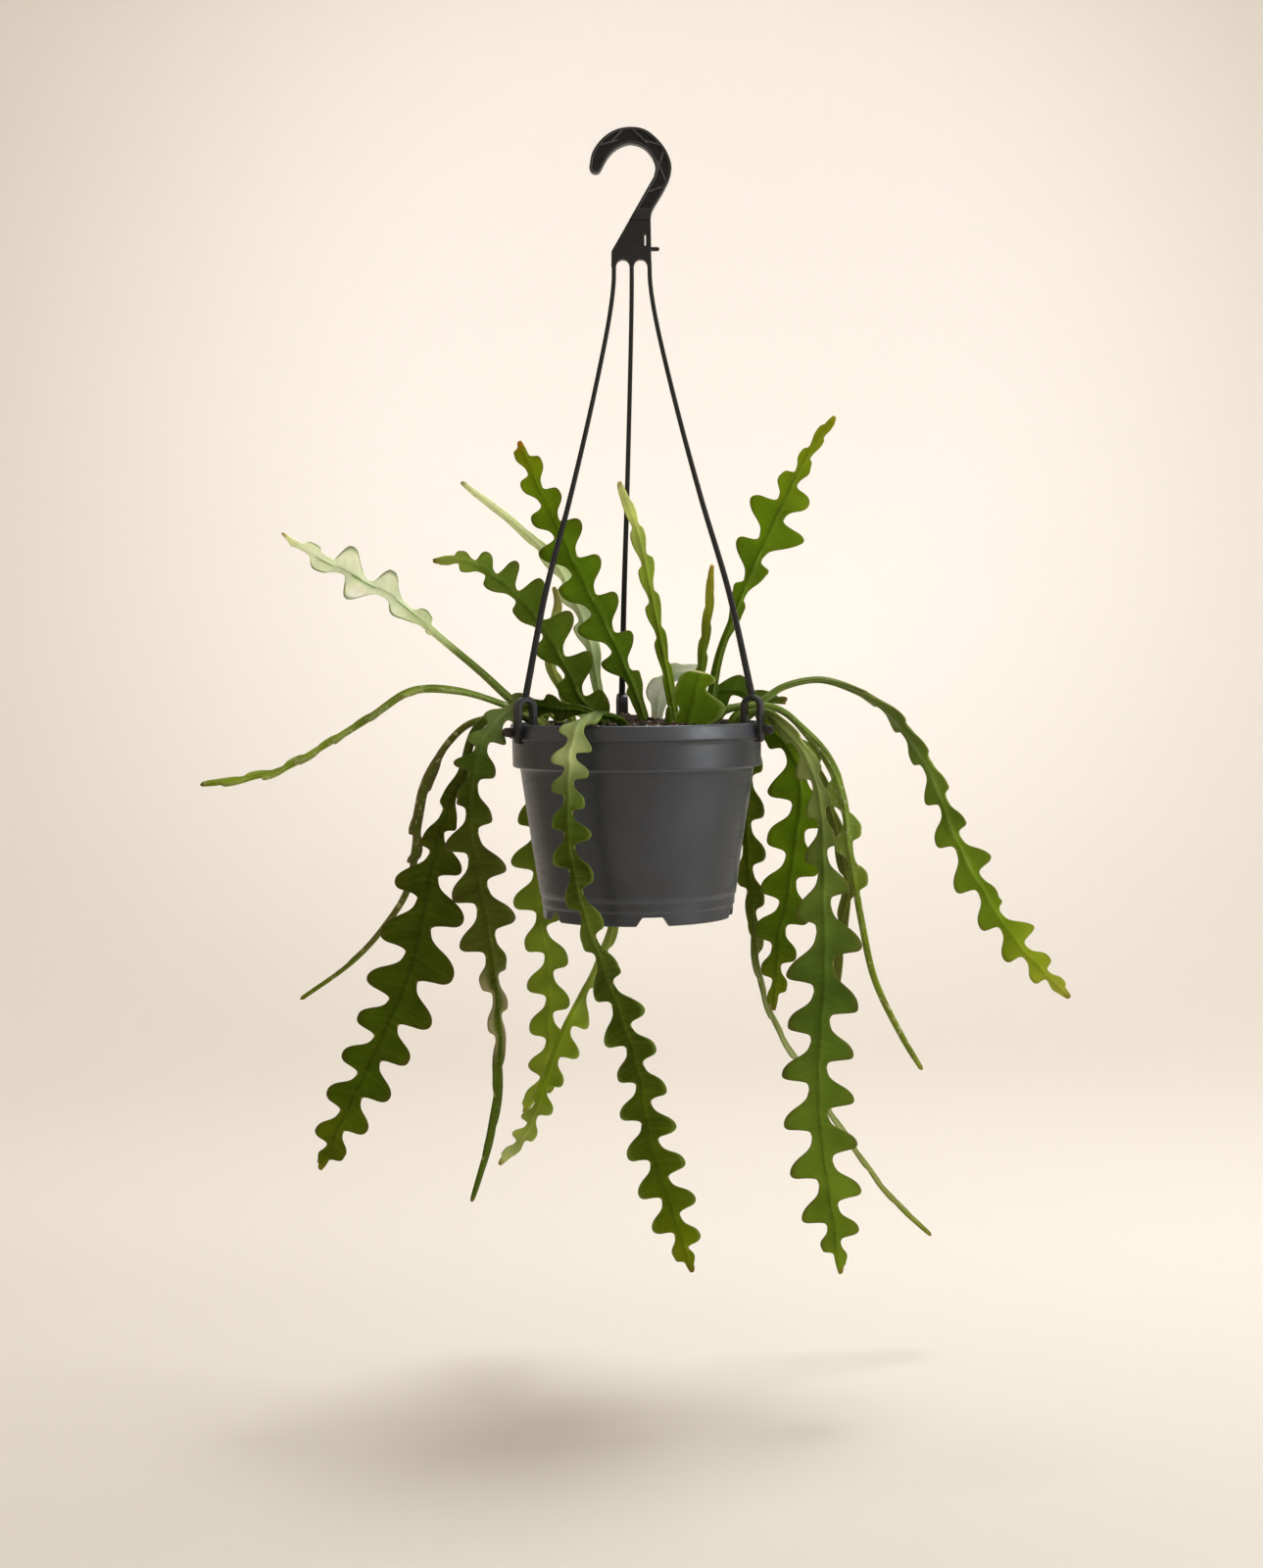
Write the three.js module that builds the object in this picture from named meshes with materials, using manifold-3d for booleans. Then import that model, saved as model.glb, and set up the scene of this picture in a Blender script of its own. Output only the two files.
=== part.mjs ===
// Fishbone cactus in its hanging pot: pot, one-piece hanger, potting mix and
// one solid for each flat stem. Millimetres, +Z up, +X to the right, the front
// of the plant towards -Y. The origin is the point of the hook that bears on
// whatever it hangs from. Everything below the hook is written from the middle
// of the pot's rim, which hangs HANG_DROP below that point.

import * as THREE from 'three';
import { mergeVertices } from 'three/addons/utils/BufferGeometryUtils.js';
import Module from 'manifold-3d';

// ---------------------------------------------------------------- driving dimensions
const HANG_DROP = 335;          // bearing point of the hook to the top of the rim

const RIM_R = 75;               // outside radius of the rolled lip
const LIP_HEIGHT = 8.7;
const BAND_R = 73.25;           // plain band under the lip
const BAND_BOTTOM = -25.6;
const BODY_TOP_R = 68.5;        // tapered body under the band
const FOOT_R = 55.9;            // outside radius at the foot
const POT_HEIGHT = 114.5;
const WALL = 1.55;
const FOOT_LIFT = 5;            // the floor of the pot stands this far above its foot
const FOOT_LINES = [-106.8, -100.8];   // two fine steps round the wall just above the foot
const NOTCH_COUNT = 5;          // drainage notches in the foot
const NOTCH_HALF = [9.8, 6];    // half width of a notch at the foot and at its top
const NOTCH_FIRST = -81.2;      // degrees round from +X, just right of the front
const HOLE_R = 3.5;             // drainage holes through the floor, one inside each notch
const HOLE_RING_R = 40;
const LUG_TURN = 6;             // degrees between a clip and the lug on the lip beside it
const LUG_WIDTH = 5;
const LUG_REACH = 5.5;          // its rounded end stands out this far, and LUG_HALF more
const LUG_HALF = 2.7;
const POT_SIDES = 32;

const CLIPS = { left: 209, right: 337, back: 97 };   // degrees round from +X
const CLIP_INNER_R = 66.2;
const CLIP_OUTER_R = 79;
const CLIP_STRAP = 3;
const CLIP_WIDTH = 5.8;
const CLIP_TOP = 16;            // top of the clip above the rim
const CLIP_INNER_FOOT = -6;
const ARM_TOP_Z = HANG_DROP - 69.1;
const ARM_TOP_X = { left: -10.8, right: 9.9, back: -0.5 };
const ARM_TOP_R = 1.3;          // half the arm's thickness under the hook plate
const ARM_END_R = 2;            // and where it meets its clip
const ARM_SIDES = 6;
const ARM_STEPS = 10;
const HOOK_THICK = 6.4;
const WEB_THICK = 2.8;          // thin middle of the hook between its raised edges
const HOOK_EDGE = 1.5;          // width of those raised edges
const HOOK_RIB = 0.9;           // zig-zag ribs across the web
const HOOK_RIBS = [[-20, -1, -12, 1], [-9, 4, -3, 10], [-1, 10, 6, 3], [10, 1, 17, -1],
  [19, -3, 16, -12], [16, -13, 20, -22], [11, -27, 19, -24.5]];
const POCKET_FLOOR = -37;       // the web ends here, above the solid plate
const PLATE_TOP = -43.8;
const PLATE_THICK = 4.6;
const PLATE_SLIT = { x0: 7.1, x1: 7.9, z0: -58.3, z1: -51.9 };
const PEG_R = 1.3;
const PEG_LENGTH = 4.6;
const PEG_Z = -60;

const SOIL_R = 71.2;
const SOIL_MOUND = 0.6;         // middle of the potting mix above the rim
const SOIL_SINK = -4;           // its height against the wall
const SOIL_HEAP = { x: -8, y: 48, height: 5, spread: 13 };   // heaped up beside the back clip
const CLEARANCE = 0.5;          // gap between the mix and what stands in it

// Stem sections
const EDGE_THICK = 1.3;         // rim of a lobe
const PETIOLE_EDGE = 2.4;       // side of a slim round base
const RIB_BASE = 5;             // thickness through the midrib at the base
const RIB_TIP = 2.2;
const STALK_HALF = 3;           // half width of a plain stalk
const WAIST_SHARE = 0.27;       // half width between lobes, as a share of their reach
const TIP_HALF = 1.2;
const STALK_STEP = 16;          // longest stretch between sections of a plain stalk

// ---------------------------------------------------------------- stems
// path: points along the midrib, root first, from the middle of the rim.
// across: [part of the length, x, y, z], the direction that the lobes spread in.
// beats: [part of the length, lobe number], how the lobes follow one another.
// reach: [part of the length, half width at a lobe].
// start: the side of lobe 0, +1 along across and -1 against it.
// lag: how far the other side's lobes follow, 1 where they alternate evenly.
// bias: how much further the lobes reach along across than against it.
// rings: sections for each lobe. fold: how far the wings lift off the flat.
const STEMS = {
  stem_up_left: {
    path: [[-44, 4, -14], [-57, 5, 1], [-73, 5, 13], [-91, 2, 30], [-116, -6, 52], [-138, -12, 72],
      [-160, -19, 85], [-186, -25, 99], [-202, -30, 111]],
    across: [[0, 0.5, -0.4, 0.8]],
    beats: [[0.485, 0], [0.775, 4], [0.964, 8]],
    reach: [[0.4, 3], [0.5, 5], [0.6, 9], [0.68, 14], [0.78, 16], [0.88, 7.5], [0.96, 4]],
    start: -1, lag: 0.7,
  },
  stem_back_pale: {
    path: [[-17, 33, -14], [-21, 35, 8], [-29, 44, 51], [-38, 50, 75], [-47, 54, 93], [-61, 58, 109],
      [-84, 64, 129], [-107, 70, 147]],
    across: [[0, 1, 0, 0]],
    beats: [[0.3, 0], [0.96, 10]],
    reach: [[0.2, 3], [0.4, 8], [0.55, 8], [0.7, 6], [0.97, 3]],
    start: 1, rings: 2,
  },
  stem_back_thin: {
    path: [[-36, 21, -14], [-41, 24, 10], [-51, 27, 35], [-50, 30, 57], [-47, 33, 71], [-49, 34, 81]],
    across: [[0, 1, 0, 0]],
    beats: [[0.4, 0], [0.96, 5]],
    reach: [[0.2, 3], [0.6, 4], [0.97, 3]],
    start: 1, rings: 2,
  },
  stem_up_arching: {
    path: [[-22, -2, -14], [-27, -2, 7], [-33, -3, 15], [-40, -5, 30], [-56, -10, 58], [-73, -16, 78],
      [-94, -28, 93], [-106, -34, 95], [-115, -38, 94]],
    across: [[0, 1, 0, 0.2], [0.8, 0.6, 0, 0.8], [1, 0.1, 0, 1]],
    beats: [[0.154, 0], [0.505, 4], [0.639, 6], [0.922, 12]],
    reach: [[0.08, 5], [0.16, 11], [0.33, 14], [0.5, 16], [0.63, 14], [0.73, 12], [0.83, 8.5], [0.95, 5]],
    start: 1, lag: 1.25, bias: 0.22,
  },
  stem_up_tall: {
    path: [[6, -2, -14], [5, -2, 0], [-1, -3, 19], [-14, -7, 49], [-30, -10, 81], [-44, -14, 111],
      [-58, -18, 142], [-66, -20, 163]],
    across: [[0, 1, 0, 0.2]],
    beats: [[0.212, 0], [0.713, 8], [0.964, 12.8]],
    reach: [[0.15, 4], [0.21, 7], [0.3, 12], [0.41, 15.5], [0.65, 16.5], [0.72, 13.5], [0.82, 11],
      [0.9, 8.5], [0.97, 5]],
    start: 1, lag: 1.15,
  },
  stem_up_narrow: {
    path: [[23, 5, -14], [22, 6, 6], [17, 10, 36], [10, 16, 73], [2, 21, 111], [-9, 26, 143]],
    across: [[0, 1, 0, 0]],
    beats: [[0.218, -4], [0.782, 4], [0.93, 6]],
    reach: [[0.1, 3], [0.3, 4.5], [0.9, 5], [1, 3]],
    start: -1, lag: 0.7, rings: 2,
  },
  stem_up_young: {
    path: [[38, 12, -14], [38, 13, 6], [38, 15, 25], [41, 18, 48], [44, 21, 70], [46, 24, 93]],
    across: [[0, 1, 0, 0]],
    beats: [[0.3, 0], [0.96, 8]],
    reach: [[0.2, 3], [0.5, 3.6], [0.97, 2.6]],
    start: 1, rings: 2,
  },
  stem_up_right: {
    path: [[44, 0, -14], [44, 1, 5], [46, 4, 24], [50, 7, 41], [57, 11, 59], [71, 18, 93],
      [90, 28, 132], [106, 35, 161], [121, 40, 182]],
    across: [[0, 1, 0, -0.3]],
    beats: [[0.38, 0], [0.645, 4], [0.748, 6], [0.936, 10]],
    reach: [[0.3, 3], [0.39, 5.5], [0.44, 5], [0.51, 10], [0.56, 14], [0.65, 21], [0.69, 19],
      [0.75, 12.5], [0.79, 8],
      [0.87, 5], [0.96, 3]],
    start: 1, lag: 0.77,
  },
  stem_short_cut: {
    path: [[28, -30, -14], [29, -30, -1], [33, -30, 15], [35, -30, 30]],
    across: [[0, 1, 0, -0.2]],
    beats: [[0.62, 0], [0.67, 1], [0.95, 2]],
    reach: [[0.3, 5], [0.45, 12], [0.57, 17.5], [0.68, 12.5], [0.9, 11], [1, 9]],
    start: 1,
  },
  stem_short_round: {
    path: [[18, -34, -12], [19, -34, 0], [19, -34, 10]],
    across: [[0, 1, 0, 0]],
    beats: [[0.5, 0], [0.8, 1]],
    reach: [[0.4, 4], [1, 4.6]],
    start: 1,
  },
  stem_short_pale: {
    path: [[11, 25, -14], [11, 25, 0], [10, 25, 14], [14, 25, 22], [24, 25, 28], [35, 25, 28]],
    across: [[0, 1, 0, 0], [1, 0.2, 0, -1]],
    beats: [[0.5, 0], [0.9, 3]],
    reach: [[0.4, 3.5], [0.5, 7], [0.8, 7], [1, 5]],
    start: -1,
  },
  stem_short_back: {
    path: [[28, 28, -14], [32, 28, 2], [44, 28, 16], [60, 28, 17], [78, 28, 13], [90, 28, 10]],
    across: [[0, 1, 0, -0.5], [0.5, 0, 0, -1]],
    beats: [[0.3, 0], [0.53, 1], [0.64, 2], [0.96, 4]],
    reach: [[0.3, 4], [0.53, 10], [0.64, 10.5], [0.8, 6], [1, 4]],
    start: -1,
  },
  stem_stub: {
    path: [[56, 15, -14], [66, 16, 3], [77, 16, 10.5], [90, 16, 12.5]],
    across: [[0, 0.2, 0, -1]],
    beats: [[0.5, 0], [0.9, 1]],
    reach: [[0.3, 3], [0.7, 4], [1, 3.6]],
    start: 1,
  },
  stem_left_arch: {
    path: [[-48, 22, -14], [-61, 20, 2], [-80, 17, 11], [-107, 22, 19], [-135, 29, 19], [-160, 35, 4],
      [-187, 42, -12], [-219, 51, -29], [-253, 58, -36], [-270, 62, -38]],
    across: [[0, 0, 1, 0.15], [1, 0, 0.9, 0.4]],
    beats: [[0.24, 0], [0.97, 14]],
    reach: [[0.15, 3], [0.3, 5], [0.6, 8], [0.9, 7], [1, 3]],
    start: 1, rings: 2,
  },
  stem_left_corky: {
    path: [[-46, -5, -14], [-58, -3, 1], [-75, 2, 6], [-88, 5, 3], [-100, 6, -1], [-112, 7, -12],
      [-126, 11, -35], [-131, 15, -59], [-138, 20, -99], [-155, 25, -125], [-174, 29, -145],
      [-206, 34, -168]],
    across: [[0, 0, 1, 0.1], [1, 0.2, 1, 0.3]],
    beats: [[0.2, 0], [0.97, 15]],
    reach: [[0.15, 3], [0.3, 7], [0.6, 8], [0.9, 6], [1, 3]],
    start: 1, rings: 2,
  },
  stem_left_broad: {
    path: [[-46, -15, -14], [-60, -12, 1], [-75, -9, 6], [-87, -7, 3], [-95, -6, -5], [-103, -8, -30],
      [-113, -10, -54], [-120, -12, -81], [-126, -14, -112], [-133, -16, -142], [-145, -19, -171],
      [-160, -21, -203], [-176, -24, -235], [-187, -26, -259]],
    across: [[0, 0.3, 1, -0.5], [0.2, 0.8, 0.4, -0.3], [0.3, 1, 0, -0.3]],
    beats: [[0.307, 0], [0.461, 4], [0.656, 8], [0.941, 16], [0.983, 18]],
    reach: [[0.2, 3.5], [0.305, 6], [0.38, 9], [0.42, 16], [0.46, 21], [0.55, 24], [0.67, 24],
      [0.72, 19.5], [0.85, 18],
      [0.94, 13], [0.985, 6]],
    start: -1, bias: 0.06,
  },
  stem_left_front: {
    path: [[-13, -36, -14], [-18, -36, 0], [-31, -35, 7.5], [-45, -31, 9], [-58, -25, 11],
      [-71, -22, 9], [-80, -23, 2], [-87, -27, -7], [-92, -33, -22], [-95, -38, -42], [-93, -39, -74],
      [-85, -43, -123], [-81, -47, -159], [-80, -51, -191], [-84, -55, -229], [-96, -60, -270]],
    across: [[0, -0.7, 0, -0.7], [0.15, 0, 0, -1], [0.3, 1, -0.2, -0.3], [0.55, 1, 0, 0],
      [0.75, 0.4, 1, 0], [1, 0.3, 1, 0]],
    beats: [[0.13, -6], [0.2, -2], [0.277, 0], [0.325, 2.5], [0.4, 5], [0.442, 6], [0.521, 8],
      [0.601, 10], [0.636, 11],
      [0.97, 21]],
    reach: [[0.06, 4], [0.135, 7], [0.2, 7], [0.25, 11], [0.33, 12.5], [0.37, 9], [0.4, 12], [0.44, 16],
      [0.6, 17], [0.64, 8],
      [0.7, 6.5], [0.9, 6], [1, 3]],
    start: -1, lag: 0.9, rings: 2,
  },
  stem_behind_left: {
    path: [[-40, 40, -14], [-47, 47, 0], [-54, 53, 5], [-59, 58, -3], [-61, 60, -15], [-62, 61, -63],
      [-61, 67, -119], [-56, 70, -150], [-56, 73, -183], [-59, 77, -222], [-73, 80, -249]],
    across: [[0, 0.7, 0.7, 0], [0.2, 1, 0, 0]],
    beats: [[0.19, -3], [0.334, 0], [0.609, 6], [0.978, 14]],
    reach: [[0.15, 3], [0.25, 9], [0.43, 15.5], [0.52, 15], [0.62, 13], [0.8, 13], [0.9, 12], [0.98, 5]],
    start: -1, lag: 0.5, rings: 2,
  },
  stem_behind_crossing: {
    path: [[-24, 52, -14], [-25, 61, 3], [-26, 69, 6], [-26, 77, 2], [-24, 82, -9], [-20, 83, -30],
      [-16, 80, -70], [-15, 76, -104], [-17, 71, -131], [-26, 60, -154], [-35, 53, -170],
      [-46, 44, -190], [-56, 38, -215], [-70, 33, -252], [-86, 30, -270]],
    across: [[0, 1, 0, 0], [0.6, 1, 0.3, -0.5]],
    beats: [[0.33, -11.5], [0.539, -5], [0.735, 1], [0.875, 6], [0.981, 10.9]],
    reach: [[0.15, 3], [0.3, 9], [0.6, 9], [0.7, 12], [0.77, 14], [0.87, 10], [0.93, 8], [0.98, 4]],
    start: 1, rings: 2,
  },
  stem_front: {
    path: [[-5, -40, -14], [-8, -45, 1], [-15, -54, 5], [-22, -62, 6], [-28, -71, 4], [-33, -78, -2],
      [-36, -80, -11], [-38, -80, -42], [-38, -79, -64], [-31, -78, -100], [-17, -75, -142],
      [-1, -73, -190], [7, -70, -236], [20, -68, -281], [29, -66, -310]],
    across: [[0, 1, -0.3, 0], [0.3, 1, 0, 0]],
    beats: [[0.16, 0], [0.318, 6], [0.596, 14], [0.951, 26], [0.989, 28]],
    reach: [[0.08, 4], [0.15, 11], [0.22, 11], [0.28, 8.5], [0.33, 12], [0.38, 10], [0.47, 8],
      [0.53, 8.5], [0.57, 12],
      [0.61, 15], [0.66, 12.5], [0.71, 13], [0.75, 15.5], [0.87, 15.5], [0.93, 14], [0.955, 10.5], [0.99, 4]],
    start: 1,
  },
  stem_behind_right: {
    path: [[45, 38, -14], [51, 42, 3], [57.5, 46, 7], [63.5, 49, 5], [67.5, 51, -4], [68, 51, -16],
      [68, 50, -40], [67, 49, -75], [70, 52, -113], [74, 56, -157], [82, 58, -184], [96, 60, -210],
      [122, 64, -251], [155, 69, -299], [183, 72, -327]],
    across: [[0, 0.7, -0.7, 0], [0.2, 1, 0, 0], [0.4, 1, 0, 0], [0.5, 0.3, 1, 0], [1, 0.3, 1, 0.2]],
    beats: [[0.171, 0], [0.378, 6], [0.97, 23]],
    reach: [[0.1, 4], [0.165, 9], [0.3, 12], [0.38, 8], [0.45, 7], [0.7, 6], [0.97, 3]],
    start: 1, rings: 2,
  },
  stem_right_bright: {
    path: [[53, 32, -14], [59, 33, 2], [66, 35, 5.5], [73, 37, 4.5], [82, 38, -5], [90, 38, -15],
      [97, 39, -28], [99, 39, -51], [95, 38, -79], [90, 36, -112], [85, 34, -132], [84, 33, -149],
      [82, 32, -177]],
    across: [[0, 0.2, -1, 0], [0.25, 1, -0.3, 0], [0.35, 1, 0, 0.2]],
    beats: [[0.228, 0], [0.36, 1.5], [0.505, 3.5], [0.674, 6], [0.854, 9], [0.936, 11]],
    reach: [[0.12, 4], [0.207, 8], [0.31, 15], [0.38, 19], [0.45, 23], [0.54, 17], [0.67, 17], [0.8, 15],
      [0.85, 12],
      [0.93, 7]],
    start: -1,
  },
  stem_right_front: {
    path: [[50, -15, -14], [59, -16, 2], [70, -17, 6], [77, -18, 5], [84, -20, -1], [91, -22, -9],
      [98, -25, -19], [105, -28, -42], [107, -29, -69], [107, -31, -99], [107, -34, -141],
      [103, -37, -202], [104, -39, -235], [108, -41, -267], [115, -44, -318]],
    across: [[0, 0.2, -1, 0], [0.1, 0.5, -0.8, 0.5], [0.25, 1, -0.1, 0.3], [0.35, 1, 0, 0]],
    beats: [[0.141, 0], [0.357, 6], [0.44, 8], [0.542, 10], [0.91, 20], [0.96, 22], [0.985, 23.2]],
    reach: [[0.1, 3.5], [0.14, 5.5], [0.21, 7], [0.28, 6], [0.33, 8], [0.36, 11], [0.41, 15],
      [0.44, 16.5], [0.49, 22],
      [0.57, 22], [0.62, 18.5], [0.67, 21], [0.84, 20.5], [0.91, 17.5], [0.94, 14], [0.96, 8], [0.985, 5]],
    start: -1, lag: 1.1,
  },
  stem_right_arch: {
    path: [[40, -12, -14], [44, -11, 1], [56, -8, 8], [77, -6, 9], [87, -4, 5], [96, -3, -3],
      [112, -1, -22], [121, 1, -43], [126, 4, -80], [133, 8, -120], [141, 11, -155], [157, 14, -189],
      [170, 16, -211]],
    across: [[0, 0, -1, 0], [0.3, 0.2, -1, 0], [0.5, 0.75, -0.8, 0.1], [0.7, 0.2, -1, 0], [1, 0.2, -1, 0]],
    beats: [[0.15, -4], [0.396, 0], [0.586, 3], [0.97, 10]],
    reach: [[0.1, 3], [0.3, 5], [0.4, 8], [0.6, 8], [0.75, 6], [0.97, 3]],
    start: -1, rings: 2,
  },
  stem_right_far: {
    path: [[50, 7, -14], [60, 6, 2], [76, 5, 13], [87, 4, 20], [108, 2, 24], [128, -3, 18],
      [146, -7, 7], [158, -11, -7], [172, -17, -32], [186, -25, -71], [201, -33, -101],
      [217, -39, -127], [246, -48, -158]],
    across: [[0, 0, -1, 0], [0.35, 0.15, -1, 0.1], [0.6, 0.7, -0.7, 0.2], [0.75, 0.9, -0.2, 0.5]],
    beats: [[0.24, -4], [0.399, 0], [0.623, 6], [0.859, 12], [0.922, 14], [0.973, 16]],
    reach: [[0.1, 3], [0.25, 6], [0.4, 7], [0.55, 9], [0.62, 11], [0.7, 13.5], [0.8, 12.5], [0.88, 12.5],
      [0.93, 9],
      [0.97, 5]],
    start: 1, lag: 0.5,
  },
  stem_right_narrow: {
    path: [[55, 24, -14], [62, 24, 3], [70, 24, 6.5], [77, 23, 4], [84, 22, -2], [103, 20, -21],
      [117, 22, -56], [124, 24, -85], [127, 25, -104], [123, 26, -122], [121, 28, -142], [117, 30, -179]],
    across: [[0, 0.2, -1, 0], [0.3, 1, -0.5, 0.3]],
    beats: [[0.3, 0], [0.96, 11]],
    reach: [[0.2, 3], [0.5, 5], [0.8, 4.5], [0.97, 3]],
    start: 1, rings: 2,
  },
};

// ---------------------------------------------------------------- solids
const wasm = await Module();
wasm.setup();

const DEG = Math.PI / 180;

function toSolid(geometry) {
  const bare = geometry.clone();
  for (const name of ['normal', 'uv', 'uv1', 'color']) bare.deleteAttribute(name);
  const merged = mergeVertices(bare, 1e-4);
  return new wasm.Manifold(new wasm.Mesh({
    numProp: 3,
    vertProperties: new Float32Array(merged.attributes.position.array),
    triVerts: new Uint32Array(merged.index.array),
  }));
}

function toGeometry(solid) {
  const mesh = solid.getMesh();
  const geometry = new THREE.BufferGeometry();
  geometry.setAttribute('position', new THREE.BufferAttribute(new Float32Array(mesh.vertProperties), 3));
  geometry.setIndex(new THREE.BufferAttribute(new Uint32Array(mesh.triVerts), 1));
  geometry.computeVertexNormals();
  return geometry;
}

function unite(solids) {
  return solids.reduce((sum, next) => sum.add(next));
}

// The largest body of a cut, without the loose scraps.
function mainBody(solid) {
  const bodies = solid.decompose();
  return bodies.reduce((best, next) => (next.volume() > best.volume() ? next : best));
}

function boxSolid(x0, x1, y0, y1, z0, z1) {
  const box = new THREE.BoxGeometry(x1 - x0, y1 - y0, z1 - z0);
  box.translate((x0 + x1) / 2, (y0 + y1) / 2, (z0 + z1) / 2);
  return toSolid(box);
}

// A box that cuts right across the hook from side to side.
const CUT = 90;
function cutterSolid(y0, y1, z0, z1) {
  return boxSolid(-CUT, CUT, y0, y1, z0, z1);
}

function latheSolid(profile, sides) {
  const points = profile.map(([r, z]) => new THREE.Vector2(r, z));
  const lathe = new THREE.LatheGeometry(points, sides);
  lathe.rotateX(Math.PI / 2);
  return toSolid(lathe);
}

// Turns a shape drawn outwards and upwards into a piece that stands at an azimuth.
function radialSolid(shape, width, azimuth) {
  const blade = new THREE.ExtrudeGeometry(shape, { depth: width, bevelEnabled: false, curveSegments: 6 });
  blade.translate(0, 0, -width / 2);
  blade.rotateX(Math.PI / 2);
  blade.rotateZ(azimuth * DEG);
  return toSolid(blade);
}

// A knot table [[t, value, ...], ...] read at t, with straight lines between knots.
function knots(table, t) {
  const last = table.length - 1;
  if (t <= table[0][0]) return table[0].slice(1);
  if (t >= table[last][0]) return table[last].slice(1);
  const next = table.findIndex((row) => row[0] > t);
  const [a, b] = [table[next - 1], table[next]];
  const part = (t - a[0]) / (b[0] - a[0]);
  return a.slice(1).map((value, i) => value + (b[i + 1] - value) * part);
}

// ---------------------------------------------------------------- pot
function makePot() {
  const inner = (r) => r - WALL;
  const floor = -POT_HEIGHT + FOOT_LIFT;
  const outside = [
    [FOOT_R - 3.4, -POT_HEIGHT], [FOOT_R - 1.2, -POT_HEIGHT], [FOOT_R, -POT_HEIGHT + 2],
    [FOOT_R + 0.1, FOOT_LINES[0]], [FOOT_R + 0.9, FOOT_LINES[0]],
    [FOOT_R + 1.1, FOOT_LINES[1]], [FOOT_R + 1.9, FOOT_LINES[1]],
    [BODY_TOP_R, BAND_BOTTOM - 1], [BAND_R - 1.4, BAND_BOTTOM - 0.4], [BAND_R, BAND_BOTTOM + 1],
    [BAND_R, -LIP_HEIGHT], [RIM_R, -LIP_HEIGHT + 0.3], [RIM_R, -2], [RIM_R - 0.8, 0],
  ];
  const inside = [
    [RIM_R - 2.6, 0], [inner(BAND_R), -1.6], [inner(BAND_R), BAND_BOTTOM + 0.6],
    [inner(BODY_TOP_R), BAND_BOTTOM - 0.6], [inner(FOOT_R) + 0.6, floor + 2.2],
    [inner(FOOT_R) - 1.2, floor + WALL], [0, floor + WALL],
  ];
  const underside = [[0, floor], [FOOT_R - 4, floor]];
  let pot = latheSolid([...underside, ...outside, ...inside], POT_SIDES);
  const lug = new THREE.Shape();
  const lugMiddle = -LIP_HEIGHT / 2;
  lug.moveTo(RIM_R - 1.5, lugMiddle + LUG_HALF);
  lug.lineTo(RIM_R + LUG_REACH, lugMiddle + LUG_HALF);
  lug.absarc(RIM_R + LUG_REACH, lugMiddle, LUG_HALF, Math.PI / 2, -Math.PI / 2, true);
  lug.lineTo(RIM_R - 1.5, lugMiddle - LUG_HALF);
  for (const [name, azimuth] of Object.entries(CLIPS)) {
    const beside = name === 'left' ? -LUG_TURN : LUG_TURN;
    pot = pot.add(radialSolid(lug, LUG_WIDTH, azimuth + beside));
  }
  const notch = new THREE.Shape();
  const [notchFoot, notchTop] = NOTCH_HALF;
  notch.moveTo(-notchFoot, -POT_HEIGHT - 1);
  notch.lineTo(notchFoot, -POT_HEIGHT - 1);
  notch.lineTo(notchTop, floor + 0.3);
  notch.lineTo(-notchTop, floor + 0.3);
  for (let i = 0; i < NOTCH_COUNT; i += 1) {
    const azimuth = NOTCH_FIRST + (i * 360) / NOTCH_COUNT;
    const cut = new THREE.ExtrudeGeometry(notch, { depth: 16, bevelEnabled: false });
    cut.translate(0, 0, FOOT_R - 12);
    cut.rotateX(Math.PI / 2);
    cut.rotateZ((azimuth + 90) * DEG);
    pot = pot.subtract(toSolid(cut));
    const hole = new THREE.CylinderGeometry(HOLE_R, HOLE_R, 8, 10);
    hole.rotateX(Math.PI / 2);
    hole.translate(HOLE_RING_R * Math.cos(azimuth * DEG), HOLE_RING_R * Math.sin(azimuth * DEG), floor);
    pot = pot.subtract(toSolid(hole));
  }
  return pot;
}

// ---------------------------------------------------------------- hanger
// Hook outline in the XZ plane, the bearing point at (0, 0): outer edge from the
// tip over the top and down the neck, the plate that the arms grow from, and the
// inner edge back up to the tip.
const HOOK_OUTER = [[-24.6, -13.2], [-22.7, -4.8], [-17.2, 2.8], [-9.6, 7.8], [-0.4, 9.5], [7.6, 8.1],
  [14.2, 3.3], [20, -4], [23.1, -13.2], [21.9, -20], [18, -28], [11.6, -38.8], [10.8, -42.5]];
const HOOK_INNER = [[12.7, -19.1], [13.7, -13.4], [11.9, -8], [7.2, -2.6], [0, 0], [-5, -0.9],
  [-9.5, -3.3], [-13.7, -7.7], [-17.2, -13.7]];
const HOOK_TIP = [[-18.4, -15.9], [-21.2, -16.9], [-23.8, -15.6]];
const PLATE_RIGHT = 11;
const PLATE_SHOULDER = -62;     // the plate's right side is straight below this
const PLATE_LEFT = [-12.2, -61.4];
const PLATE_BOTTOM = -70.1;
const ARCH_R = 3.85;            // the round gaps between the arms

function smoothCurve(points) {
  const curve = new THREE.CatmullRomCurve3(points, false, 'centripetal');
  curve.arcLengthDivisions = 400;
  return curve;
}

function splinePoints(points, count) {
  const through = points.map(([x, y]) => new THREE.Vector3(x, y, 0));
  return smoothCurve(through).getPoints(count).map((p) => [p.x, p.y]);
}

function hookOutline() {
  return [
    ...splinePoints(HOOK_OUTER, 18), [PLATE_RIGHT, PLATE_SHOULDER], [PLATE_RIGHT, PLATE_BOTTOM],
    [ARM_TOP_X.left - 1.6, PLATE_BOTTOM], PLATE_LEFT, ...splinePoints(HOOK_INNER, 14), ...HOOK_TIP,
  ];
}

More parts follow.
